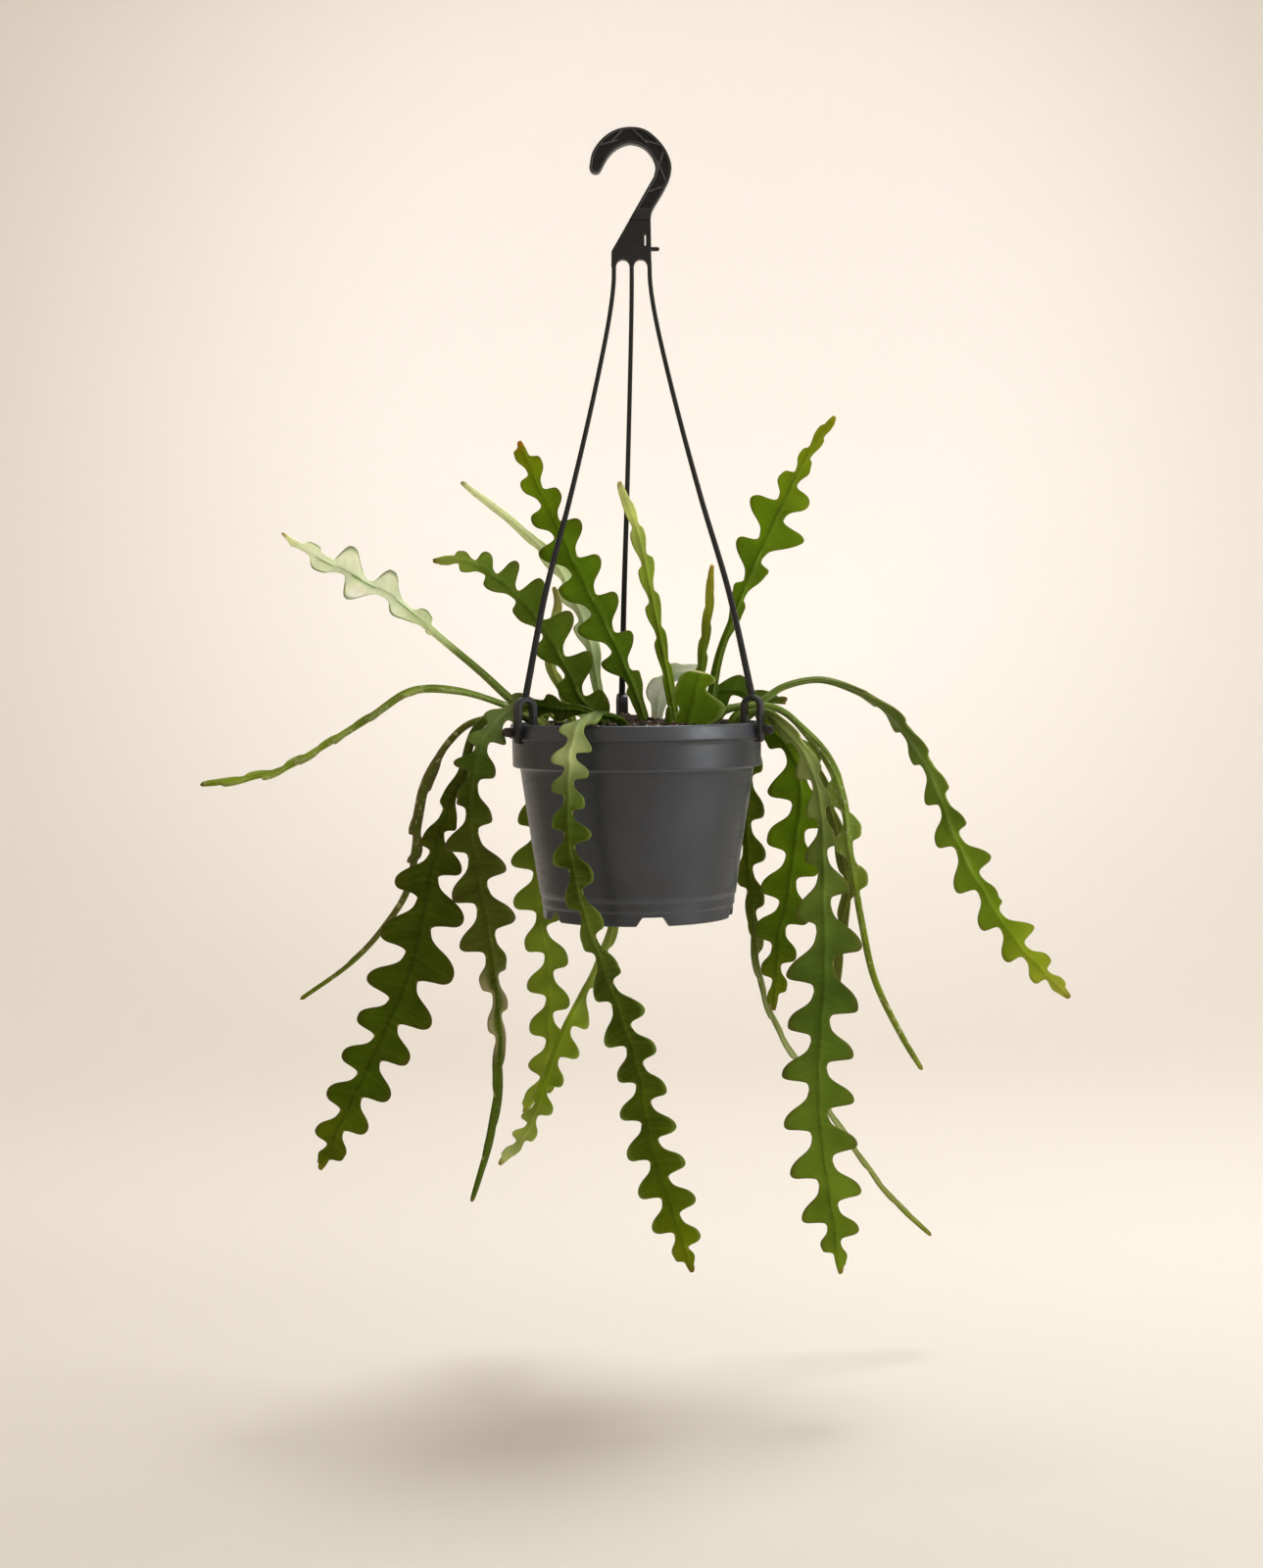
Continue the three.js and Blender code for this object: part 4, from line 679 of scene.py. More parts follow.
def outline(stem, side, length):
    """One edge of a stem: how far along, how far from the midrib, and where its notches are."""
    if "edges" in stem:
        return drawn_edge(stem["edges"][side], length)
    peaks, reaches = np.array(stem["lobes"][side]).T
    gaps = np.diff(peaks) if len(peaks) > 1 else np.array([LONE_GAP])
    below = peaks - LOBE_PEAK * np.append(gaps[0], gaps)[:len(peaks)]
    above = peaks + (1 - LOBE_PEAK) * np.append(gaps, gaps[-1])[:len(peaks)]
    below[0] = max(below[0], FIRST_LOBE)
    above[-1] = max(min(above[-1], 1 - TIP_RUN / length), peaks[-1] + 0.002)
    crisps = smooth(*CRISP, reaches * (1 - WAIST_SHARE) / ((above - below) * length))

    def waist(t):
        reach = np.interp(t, peaks, reaches)
        share = stem.get("waist", WAIST_SHARE) + ROUND_WAIST * (1 - np.interp(t, peaks, crisps))
        stalk = np.interp(t, *np.transpose(stem.get("stalk", PLAIN_STALK)))
        return np.minimum(reach, np.maximum(stalk, share * reach))

    stalk = np.linspace(0, below[0], 14, endpoint=False)
    along, wide = [stalk * length], [waist(stalk)]
    fine = np.linspace(0, 1, LOBE_SAMPLES)
    for low, peak, high, crisp in zip(below, peaks, above, crisps):
        form = curve_of(lobe_form(float(crisp), stem.get("fall", FALL)), LOBE_SAMPLES)[fine < 0.999]
        t = np.interp(form[:, 0], (0, LOBE_PEAK, 1), (low, peak, high))
        along.append(t * length)
        wide.append(waist(t) + (np.interp(t, peaks, reaches) - waist(t)) * np.clip(form[:, 1], 0, 1))
    along, wide = np.concatenate(along), np.concatenate(wide)
    turn = np.linspace(0.04, 1, 24)
    tip = TIP_HALF + max(wide[-1] - TIP_HALF, 0) * (1 - turn**TIP_CURVE)
    along = np.concatenate([along, along[-1] + (length - along[-1]) * turn])
    return along, np.concatenate([wide, tip]), list(above * length)


def stem_sections(stem, length):
    """Stations along the midrib, with the point that each one's veins meet on both edges."""
    grid = np.linspace(0, length, int(length / 0.12) + 1)
    edges, notches = [], []
    for side in (0, 1):
        along, wide, marks = outline(stem, side, length)
        notches.append(np.array(marks + [-100.0]))
        lean = VEIN_LEAN * smooth(0, LEAN_ENDS[0], along) * smooth(0, LEAN_ENDS[1], length - along)
        key = np.maximum.accumulate(along - lean * wide)
        key = key + np.linspace(0, 1e-3, len(key))
        edges.append(np.column_stack([blur(np.interp(grid, key, line), 5) for line in (along, wide)]))
    longest = np.maximum(*[np.linalg.norm(np.diff(edge, axis=0), axis=1) for edge in edges])
    run = np.concatenate([[0], np.cumsum(np.maximum(longest, 0.04))])
    count = int(run[-1] / stem.get("step", OUTLINE_STEP)) + 2
    pick = np.interp(np.linspace(0, run[-1], count), run, grid)
    edges = [np.stack([np.interp(pick, grid, edge[:, k]) for k in (0, 1)], -1) for edge in edges]
    return pick, edges, notches


# ---------------------------------------------------------------- body of a stem
LINE_SAMPLES = 1600     # points of a midrib's spline, and the distance between those it is kept at
LINE_STEP = 0.5
ACROSS = ((0, 1, 0, 0),)
RIB_AT = (0, 0.55, 1.3, 2.5)    # points of half a section near the midrib, closer where it is narrow
RIB_ROOM = 5.5
BODY_AT = (0.26, 0.52, 0.77)    # points between those and the rounded rim, as parts of the way
RIM = (0.45, 0.25)      # width of the rounded rim, and the most of the half width that it takes
RIM_POINT = 0.22
SLIM = (4.4, 1.2)       # below this half width a stem is a round stalk, and over what range
STALK_TAPER = 0.6
BELL = (0.75, 0.25)     # a section's thickness is a narrow rib and a broad swell
RIB_SHARE = (0.2, 0.9, 2.0)     # the rib's spread as a part of the half width, least and most
THICK_FROM = (0.2, 0.34)        # "thick" grows over this part of the length
TIP_ROUND = (1.6, 0.02)
SWAY = (34, 0.55)       # size and height of the waves in the lobes, and how much shorter they are outwards
SWAY_SQUEEZE = 2.2
SWAY_WIDE = (4, 10)     # only lobes wider than this wave, and none next to the root
SWAY_ROOT = (0, 30)


def half_section(pick, edge):
    """Points of one side of every section: how far out, and how far along, each one is."""
    wide = edge[:, 1:]
    rib = np.array(RIB_AT) * np.minimum(1, wide / RIB_ROOM)
    rim = np.minimum(RIM[0], wide * RIM[1])
    body = rib[:, -1:] + (wide - rim - rib[:, -1:]) * np.array(BODY_AT)
    out = np.hstack([rib, body, wide - rim, wide - rim * RIM_POINT, wide])
    return out, pick[:, None] + (edge[:, :1] - pick[:, None]) * out / np.maximum(wide, 1e-6)


def half_thickness(stem, edges, across_at, along_at, wide_at, length):
    """Half the flesh at every point: a rib along the middle and a rounded rim."""
    t_at = along_at / length
    slim = np.clip((SLIM[0] - np.maximum(edges[0][:, 1:], edges[1][:, 1:])) / SLIM[1], 0, 1)
    edge_half = (EDGE_THICK + (PETIOLE_EDGE - EDGE_THICK) * slim * (1 - STALK_TAPER * t_at)) / 2
    rib_half = (RIB_BASE + (RIB_TIP - RIB_BASE) * t_at**0.7) / 2
    narrow = np.clip(wide_at * RIB_SHARE[0], *RIB_SHARE[1:])
    share = np.abs(across_at) / np.maximum(wide_at, 1e-6)
    bell = BELL[0] * np.exp(-((across_at / narrow) ** 2)) + BELL[1] * (1 - share) ** 1.5
    half = edge_half + (rib_half - edge_half) * bell
    half = half * (1 + (stem.get("thick", 1) - 1) * smooth(*THICK_FROM, t_at))
    rim = np.minimum(RIM[0], wide_at * RIM[1])
    inside = np.clip((wide_at - np.abs(across_at)) / np.maximum(rim, 1e-6), 0, 1)
    end = np.clip((length - along_at) / TIP_ROUND[0] + TIP_ROUND[1], 0, 1)
    return half * np.sqrt(1 - (1 - inside) ** 2) * np.sqrt(end)


RIB_LINE = (0.1, 0.5, 0.95)     # width of the painted rib as a part of the half width, least and most
LOBED = (3, 7)          # rib and edge lines fade in over these half widths
EDGE_LINE = (0.9, 0.3)  # the edge line fades out inwards between these distances
MARK_SIZE = (1.3, 0.4, 1.2, 0.3)        # a notch's mark, along and inwards
EDGE_SHARE, MARK_SHARE, END_SHARE, WING_SHARE = 0.6, 0.7, 0.85, 0.75
END_RUN = 5             # the withered end, measured from the tip
WING_FROM = (0.25, 0.7)         # a wing's colour comes in over this part of the half width
WING_FADE = 0.04
PATCHES = (26, 0.13)    # size and strength of the lighter and darker patches


def blended(tints, colour, mask, share):
    return tints + (linear(*colour) - tints) * mask[..., None] * share


def stem_tints(tone, notches, across_at, along_at, wide_at, length, seed):
    """Bands along the stem, a rib darker as painted shade or paler as painted highlight, the edge line,
    pale marks in the notches where the bristles grow, paler or browner wings and a withered end."""
    t_at = along_at / length
    tips = table_at([(t, *linear(*colour)) for t, colour in tone["bands"]], np.clip(t_at, 0, 1))
    lobed = smooth(*LOBED, wide_at)
    rib_light_mask = np.exp(-((across_at / np.clip(wide_at * RIB_LINE[0], *RIB_LINE[1:])) ** 2)) * lobed
    ribs = np.array(tone["rib"], float, ndmin=2)
    ribs = table_at(ribs, np.clip(t_at, 0, 1)) if ribs.shape[1] == 4 else ribs[0]
    # painted shade along the midrib where the factor is below 1, painted highlight where it is above 1
    tips = tips * (1 + (ribs - 1) * rib_light_mask[..., None])
    inwards = wide_at - np.abs(across_at)
    edge = smooth(*EDGE_LINE, inwards) * lobed
    tips = blended(tips, tone["edge"], edge, tone.get("edge_share", EDGE_SHARE))
    for side, marks in zip((1, -1), notches):
        near = np.abs(along_at[..., None] - marks).min(-1)
        mark = smooth(*MARK_SIZE[:2], near) * smooth(*MARK_SIZE[2:], inwards) * (across_at * side > 0)
        tips = blended(tips, tone["mark"], mark, MARK_SHARE)
    young = smooth(tone.get("end_run", END_RUN), 0.5, length - along_at)
    tips = blended(tips, tone["end"], young, END_SHARE)
    if "wing" in tone:
        start, end, colour = tone["wing"]
        share = np.abs(across_at) / np.maximum(wide_at, 1e-6)
        wing = smooth(*WING_FROM, share) * smooth(start, start + WING_FADE, t_at)
        tips = blended(tips, colour, wing * smooth(end + WING_FADE, end, t_at), WING_SHARE)
    patch = 1 + PATCHES[1] * waves(along_at, across_at, seed, PATCHES[0])[..., None]
    return np.clip(tips * patch, 0, 1)


def build_stem(name, stem, tone):
    """One stem: sections from edge to edge along its midrib, a top and an underside of flesh."""
    line, run = even(spline(stem["path"], LINE_SAMPLES), LINE_STEP)
    length = run[-1]
    tangent = unit(blur(np.gradient(line, axis=0), 7))
    across = blur(unit(table_at(stem.get("across", ACROSS), run / length)), 0.05 * len(run))
    across = unit(across - tangent * np.sum(across * tangent, -1, keepdims=True))
    lift = np.cross(across, tangent)
    pick, edges, notches = stem_sections(stem, length)
    seed = 100 + sum(ord(letter) * (i + 1) for i, letter in enumerate(name))

    # Each half section runs from the midrib to the edge, the same for top and underside.
    (right_out, right_along), (left_out, left_along) = [half_section(pick, edge) for edge in edges]
    across_at = np.hstack([-left_out[:, ::-1], right_out[:, 1:]])
    along_at = np.hstack([left_along[:, ::-1], right_along[:, 1:]])
    wide_at = np.hstack([np.repeat(edges[1][:, 1:], left_out.shape[1], 1),
                         np.repeat(edges[0][:, 1:], right_out.shape[1] - 1, 1)])
    half = half_thickness(stem, edges, across_at, along_at, wide_at, length)
    share = np.abs(across_at) / np.maximum(wide_at, 1e-6)
    sway = waves(along_at, across_at * SWAY_SQUEEZE, seed, SWAY[0]) * SWAY[1] * share**1.5
    sway = sway * smooth(*SWAY_WIDE, wide_at) * smooth(*SWAY_ROOT, along_at)

    def at(table):
        return np.stack([np.interp(along_at, run, column) for column in table.T], -1)

    def both_faces(top, underside):
        """Rings of values: the top from side to side, then the underside back again."""
        return np.concatenate([top, underside[:, 1:-1][:, ::-1]], 1)

    middle, side_dir, lift_dir = at(line), at(across), at(lift)
    base = middle + side_dir * across_at[..., None] + lift_dir * sway[..., None]
    points = both_faces(base + lift_dir * half[..., None], base - lift_dir * half[..., None])
    tips = stem_tints(tone, notches, across_at, along_at, wide_at, length, seed + 1)
    uv = np.stack([across_at * MM, (along_at - VEIN_LEAN * np.abs(across_at)) * MM], -1)
    rows, ring = points.shape[:2]
    faces = [face[::-1] for face in tube_faces(rows, ring)]
    skin, slot = SKINS[tone.get("skin", "plain")]
    piece = add_mesh(name + "_skin", points.reshape(-1, 3), faces, skin,
                     both_faces(uv, uv).reshape(-1, 2), both_faces(tips, tips).reshape(-1, 3))
    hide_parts(name)


SKINS = {"plain": (stem_skin, "stem"), "pale": (pale_skin, "stem_pale"), "corky": (corky_skin, "stem_corky")}

# Tints of each stem as 8-bit colours: bands of (part of the length, colour); a few bands are painted
# sheen or painted light shining through a pale stem, as noted at those stems. rib multiplies the tint
# along the midrib, as one row or as rows of (part of the length, red, green, blue): below 1 it is painted
# shade, as a thick midrib seen against the light, above 1 a painted highlight along its raised, glossy top.
# edge is the line round the lobes and edge_share how strong it is, mark the spot in each notch, end the
# withered tip and end_run its length, wing the colour of the lobes alone between two parts of the length.
# by default the rib is painted shade along the midrib
GREEN = dict(rib=(0.5, 0.55, 0.4), edge=(74, 60, 20), mark=(150, 140, 84), end=(118, 98, 30))


def tone(*bands, **changes):
    return {**GREEN, "bands": bands, **changes}


TONES = {
    # from 0.5 on, nearly white: partly the skin's own pale colour, partly painted light shining through from
    # behind
    "stem_up_left": tone((0, (84, 100, 40)), (0.4, (106, 122, 54)), (0.5, (206, 218, 158)),
        (0.64, (243, 249, 218)), (0.9, (245, 250, 214)), (1, (228, 230, 160)), rib=(0.2, 0.33, 0.08),
        edge=(84, 104, 40), edge_share=1, end=(150, 110, 60), skin="pale"),
    "stem_back_pale": tone((0, (110, 126, 70)), (0.2, (150, 166, 110)), (0.4, (200, 212, 166)),
        (0.7, (214, 222, 160)), (1, (230, 234, 176)), skin="pale", rib=(0.75, 0.85, 0.6),
        edge=(150, 160, 100)),
    "stem_back_thin": tone((0, (128, 140, 50)), (0.5, (150, 160, 76)), (1, (140, 136, 70)), skin="pale"),
    "stem_up_arching": tone((0, (58, 78, 12)), (0.5, (74, 96, 18)), (0.8, (92, 116, 34)),
        (1, (130, 140, 56))),
    "stem_up_tall": tone((0, (88, 108, 32)), (0.3, (74, 102, 14)), (0.6, (80, 110, 8)),
        (0.85, (96, 122, 6)), (1, (130, 140, 8)), end=(168, 96, 24), end_run=7),
    "stem_up_narrow": tone((0, (77, 100, 10)), (0.4, (98, 120, 20)), (0.65, (136, 156, 52)),
        (0.85, (184, 196, 102)), (1, (212, 214, 134)), rib=(0.85, 0.9, 0.7), edge=(92, 112, 30),
        end=(176, 150, 90)),
    "stem_up_young": tone((0, (84, 104, 26)), (0.5, (98, 120, 28)), (0.8, (136, 142, 36)),
        (1, (156, 144, 40)), end=(168, 122, 40)),
    "stem_up_right": tone((0, (56, 76, 6)), (0.3, (61, 83, 4)), (0.45, (79, 105, 6)),
        (0.65, (92, 121, 6)), (0.9, (120, 136, 12)), (1, (134, 138, 16)), end=(140, 132, 20),
        edge=(96, 100, 10)),
    "stem_short_cut": tone((0, (70, 90, 10)), (0.5, (72, 98, 8)), (1, (90, 118, 14)),
        rib=(0.62, 0.66, 0.4), edge=(150, 164, 90), end=(214, 204, 150), end_run=1.2),
    "stem_short_round": tone((0, (50, 68, 8)), (1, (58, 80, 8)), end=(58, 78, 8), edge=(60, 80, 14)),
    # nearly white: partly its own pale skin, partly painted light to lift it out of the shade it stands in
    "stem_short_pale": tone((0, (235, 240, 205)), (0.5, (248, 252, 234)), (1, (248, 252, 232)),
        skin="pale", end=(190, 200, 140), edge=(110, 132, 60), rib=(0.9, 0.95, 0.8)),
    "stem_short_back": tone((0, (72, 96, 22)), (0.6, (68, 92, 18)), (1, (84, 100, 34)),
        rib=(0.5, 0.6, 0.3)),
    "stem_stub": tone((0, (78, 94, 26)), (1, (84, 96, 34)), end=(100, 84, 40)),
    "stem_left_arch": tone((0, (74, 96, 20)), (0.3, (120, 138, 58)), (0.6, (126, 144, 46)),
        (1, (124, 142, 26)), rib=(0.7, 0.75, 0.6), edge=(158, 162, 110), skin="corky"),
    "stem_left_corky": tone((0, (80, 86, 22)), (0.35, (88, 96, 34)), (0.45, (94, 106, 38)),
        (0.7, (92, 104, 26)), (0.9, (104, 116, 30)), (1, (104, 116, 24)), edge=(104, 78, 46),
        skin="corky", wing=(0.28, 0.8, (108, 98, 60))),
    "stem_left_broad": tone((0, (84, 100, 36)), (0.3, (60, 70, 8)), (0.6, (54, 70, 0)),
        (0.85, (58, 76, 0)), (1, (82, 92, 2)), edge=(70, 52, 20)),
    # painted sheen: the pale bands at 0.21 and 0.27 are its glossy top where it arches over the rim
    "stem_left_front": tone((0, (40, 58, 4)), (0.17, (48, 68, 8)), (0.21, (116, 134, 78)),
        (0.27, (96, 116, 56)), (0.3, (66, 86, 24)), (0.36, (52, 66, 8)), (0.45, (58, 66, 16)),
        (0.6, (62, 68, 14)), (0.66, (50, 62, 2)), (1, (64, 80, 8)), wing=(0.62, 0.75, (132, 122, 88)),
        edge=(88, 76, 50), rib=((0, 1.3, 1.3, 1.5), (0.42, 1.3, 1.3, 1.5), (0.5, 0.7, 0.78, 0.6),
        (1, 0.7, 0.78, 0.6))),
    "stem_behind_left": tone((0, (95, 116, 20)), (0.4, (108, 128, 36)), (0.6, (122, 144, 42)),
        (0.8, (120, 140, 32)), (1, (140, 152, 50)), rib=(1.25, 1.2, 1.2), edge=(120, 128, 60)),
    "stem_behind_crossing": tone((0, (90, 110, 10)), (0.6, (128, 140, 58)), (0.7, (114, 132, 26)),
        (0.85, (97, 115, 12)), (0.93, (134, 146, 62)), (1, (170, 176, 116)), rib=(1.35, 1.3, 1.9),
        edge=(150, 160, 84)),
    # painted sheen: the pale bands at 0.15 and 0.2 are its upper face where it arches over the rim
    "stem_front": tone((0, (40, 58, 6)), (0.1, (48, 68, 10)), (0.15, (136, 150, 92)),
        (0.2, (158, 168, 112)), (0.24, (94, 110, 52)), (0.28, (66, 84, 20)), (0.36, (43, 56, 4)),
        (0.46, (77, 92, 26)), (0.56, (50, 64, 6)), (0.72, (54, 68, 2)), (0.84, (66, 81, 0)),
        (0.93, (84, 100, 0)), (1, (108, 116, 2)), edge=(112, 128, 58), rib=((0, 1.3, 1.25, 1.4),
        (0.75, 1.5, 1.4, 1.8), (0.85, 0.7, 0.75, 0.6), (1, 0.5, 0.6, 0.3))),
    "stem_behind_right": tone((0, (74, 92, 18)), (0.3, (74, 88, 6)), (0.48, (76, 82, 30)),
        (0.56, (108, 114, 58)), (0.64, (132, 136, 84)), (0.75, (128, 134, 74)), (1, (104, 112, 26)),
        edge=(140, 140, 92)),
    "stem_right_bright": tone((0, (76, 96, 16)), (0.4, (88, 116, 8)), (0.6, (92, 120, 6)),
        (0.8, (66, 86, 6)), (1, (100, 112, 14)), edge=(88, 92, 20)),
    # painted sheen: the pale band at 0.2 is its top, facing up where it bends down past the rim
    "stem_right_front": tone((0, (70, 90, 26)), (0.1, (96, 112, 48)), (0.2, (138, 152, 88)),
        (0.27, (100, 114, 58)), (0.33, (80, 94, 40)), (0.41, (86, 106, 38)), (0.55, (64, 85, 24)),
        (0.667, (80, 102, 28)), (0.8, (92, 115, 28)), (1, (100, 120, 22)), edge=(84, 66, 30),
        rib=((0, 1.3, 1.25, 1.3), (0.4, 0.9, 1, 0.8), (0.55, 0.6, 0.65, 0.5), (1, 0.45, 0.52, 0.3))),
    "stem_right_arch": tone((0, (66, 88, 18)), (0.3, (116, 134, 60)), (0.45, (124, 146, 62)),
        (0.6, (112, 130, 40)), (1, (118, 130, 42)), rib=(1.25, 1.2, 1.4), edge=(140, 152, 80),
        skin="corky"),
    "stem_right_far": tone((0, (84, 104, 34)), (0.3, (110, 126, 64)), (0.42, (104, 124, 54)),
        (0.6, (102, 128, 34)), (0.8, (112, 140, 24)), (0.92, (148, 164, 36)), (1, (180, 184, 70)),
        rib=((0, 1.3, 1.3, 1.7), (0.7, 1.8, 1.6, 4), (0.85, 0.7, 0.8, 0.5), (1, 0.6, 0.7, 0.4)),
        edge=(96, 92, 36)),
    "stem_right_narrow": tone((0, (92, 106, 40)), (1, (104, 110, 46)), edge=(140, 140, 100)),
}

for stem_name, stem in STEMS.items():
    build_stem(stem_name, stem, TONES[stem_name])

# ---------------------------------------------------------------- pot
POT_SIDES = 240
LIP_LEAN = 0.9          # the lip is this much narrower at its top than at its foot
CORNER_TURN = 0.35      # degrees on each side of a notch corner that get a column of their own
SEAT = -9               # the wall's inside starts here, under the top of the mix
LIP_INNER, LIP_ROLL, LIP_FOOT, CORNER_ROLL = 1.1, 1.3, 0.8, 1.2    # radii of the rounded corners
FLOOR_INSET = 4.6       # the floor is this much smaller than the foot
WOBBLE = (60, 0.12)     # size and depth of the wall's slight unevenness
# the lip's outer face is paler: partly wear, partly a painted highlight where it tilts up to the light
LIP_WEAR_AND_HIGHLIGHT = 1.6
# Paler lines round the pot's edges, partly wear and partly painted highlight: height, and how much paler the
# plastic is there.
WORN_AND_HIGHLIGHT_LINES = ((0.0, 3.2), (BAND_BOTTOM + 0.1, 4.2), (FOOT_LINES[0], 2.2), (FOOT_LINES[1], 2.2))
WORN_AND_HIGHLIGHT_WIDTH = 0.45


def arc(cx, cz, radius, start, end, count):
    turns = np.radians(np.linspace(start, end, count))
    return [(cx + radius * math.cos(a), cz + radius * math.sin(a)) for a in turns]


def line_to(a, b, step):
    """Points on a straight line, the first left out."""
    count = max(2, int(math.hypot(b[0] - a[0], b[1] - a[1]) / step) + 1)
    return [(a[0] + (b[0] - a[0]) * k / count, a[1] + (b[1] - a[1]) * k / count) for k in range(1, count + 1)]


def beside(radius, height, *offsets):
    """Points given by how far they are from one corner."""
    return [(radius + out, height + up) for out, up in offsets]


def pot_profile():
    """Radius and height down the outside, from the inside of the lip to the foot, then the skirt's inside."""
    lip = [(BAND_R - WALL, SEAT), (BAND_R - WALL, -3.2)]
    lip += arc(RIM_R - 2.5, -LIP_INNER, LIP_INNER, 160, 90, 5)
    lip += arc(RIM_R - LIP_ROLL - LIP_LEAN, -LIP_ROLL, LIP_ROLL, 90, 6, 6)
    lip += line_to(lip[-1], (RIM_R, -LIP_HEIGHT + 1.0), 2.4)
    lip += arc(RIM_R - LIP_FOOT, -LIP_HEIGHT + LIP_FOOT, LIP_FOOT, 0, -90, 4)
    lip += beside(BAND_R, -LIP_HEIGHT, (0.25, 0), (0, -0.3))
    band = line_to(lip[-1], (BAND_R - 0.15, BAND_BOTTOM + 1.5), 3)
    band += arc(BAND_R - 0.15 - CORNER_ROLL, BAND_BOTTOM + CORNER_ROLL, CORNER_ROLL, 0, -75, 6)
    band += beside(BODY_TOP_R, BAND_BOTTOM, (2.2, -0.1), (1.0, -0.35), (0.2, -1.2))
    wall = line_to(band[-1], (FOOT_R + 1.9, FOOT_LINES[1] + 0.2), 3.2)
    wall += beside(FOOT_R, FOOT_LINES[1], (1.55, -0.1), (1.2, -0.5))
    wall += line_to(wall[-1], (FOOT_R + 0.95, FOOT_LINES[0] + 0.25), 1.6)
    wall += beside(FOOT_R, FOOT_LINES[0], (0.6, -0.05), (0.25, -0.45))
    foot = line_to(wall[-1], (FOOT_R, -POT_HEIGHT + 1.6), 0.9)
    foot += arc(FOOT_R - CORNER_ROLL, -POT_HEIGHT + CORNER_ROLL, CORNER_ROLL, 0, -90, 6)
    foot += beside(FOOT_R, -POT_HEIGHT, (-3.0, 0), (-3.4, 0.4), (-3.7, 2), (-4.0, FOOT_LIFT - 0.6),
                   (-FLOOR_INSET, FOOT_LIFT))
    return np.array(lip + band + wall + foot)


def notch_angles():
    return [NOTCH_FIRST + 360 * i / NOTCH_COUNT for i in range(NOTCH_COUNT)]


def build_pot():
    """The wall, turned from its profile and notched at the foot, and the floor with its holes."""
    turns = list(np.linspace(0, 360, POT_SIDES, endpoint=False))
    halves = [math.degrees(math.asin(half / FOOT_R)) for half in NOTCH_HALF]
    for middle in notch_angles():
        for half in halves:
            for side in (-1, 1):
                for nudge in (-CORNER_TURN, 0, CORNER_TURN):
                    turns.append((middle + side * (half + nudge)) % 360)
    turns = np.radians(np.array(sorted(turns)))
    profile = pot_profile()
    radius = np.repeat(profile[:, :1], len(turns), 1)
    height = np.repeat(profile[:, 1:], len(turns), 1)
    # The slanted notches lift everything below their own edge.
    top = -POT_HEIGHT + FOOT_LIFT + 0.3
    lift = np.full(len(turns), -POT_HEIGHT - 1.0)
    for middle in notch_angles():
        off = np.abs((np.degrees(turns) - middle + 180) % 360 - 180)
        slant = np.clip((halves[0] - off) / (halves[0] - halves[1]), 0, 1)
        part = smooth(halves[0] + 0.15, halves[1] - 0.15, off) * 0.25 + 0.75 * slant
        edge = np.where(off < halves[0] + 0.15, -POT_HEIGHT + part * (top + POT_HEIGHT), lift)
        lift = np.maximum(lift, edge)
    low = height < lift[None, :]
    height = np.where(low, lift[None, :], height)
    wobble = WOBBLE[1] * waves(np.cos(turns)[None, :] * 60 + 0 * height, height, 5, WOBBLE[0])
    radius = radius + wobble * (profile[:, 1:] < -LIP_HEIGHT)
    points = np.stack([radius * np.cos(turns), radius * np.sin(turns), height], -1)
    faces = grid_faces(*height.shape, closed=True)
    # painted highlight, partly wear: the lip's outer face is paler than the wall
    tints = np.where((height > -LIP_HEIGHT) & (radius > BAND_R), LIP_WEAR_AND_HIGHLIGHT, 1.0)
    # painted highlight, partly wear: thin paler lines along the rim, the band's foot and the foot lines
    for line, wear in WORN_AND_HIGHLIGHT_LINES:
        tints = np.maximum(tints, 1 + (wear - 1) * np.exp(-(((height - line) / WORN_AND_HIGHLIGHT_WIDTH) ** 2)))
    pot = add_mesh("pot_wall", points.reshape(-1, 3), faces, pot_plastic, tint=tints.ravel())

    # Floor with its drainage holes, seen from below.
    floor = -POT_HEIGHT + FOOT_LIFT
    floor_r = FOOT_R - FLOOR_INSET
    rings = [[(floor_r * math.cos(a), floor_r * math.sin(a)) for a in turns]]
    for angle in np.radians(notch_angles()):
        cx, cy = HOLE_RING_R * math.cos(angle), HOLE_RING_R * math.sin(angle)
        hole_turns = [k * math.pi / 16 for k in range(32)]
        rings.append([(cx + HOLE_R * math.cos(a), cy + HOLE_R * math.sin(a)) for a in hole_turns])
    flat = [corner for ring in rings for corner in ring]
    count = len(flat)
    floor_points = [(x, y, z) for z in (floor, floor + WALL) for x, y in flat]
    floor_faces = []
    for a, b, c in tessellate_polygon([[Vector((x, y, 0)) for x, y in ring] for ring in rings]):
        if (Vector(flat[b]) - Vector(flat[a])).cross(Vector(flat[c]) - Vector(flat[a])) < 0:
            b, c = c, b
        floor_faces += [(a, c, b), (a + count, b + count, c + count)]
    start = 0
    for ring in rings:
        last = start + len(ring) - 1
        for k in range(start, last + 1):
            after = start if k == last else k + 1
            wall = (k, after, after + count, k + count)
            floor_faces.append(wall if start == 0 else wall[::-1])
        start = last + 1
    plain = np.ones(len(floor_points))
    add_mesh("pot_floor", floor_points, floor_faces, pot_plastic, tint=plain, flat=True)
    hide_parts("pot")


EDGE_WEAR_AND_HIGHLIGHT = 4.5         # how much paler a moulding's rounded edges are: partly wear, partly painted highlight


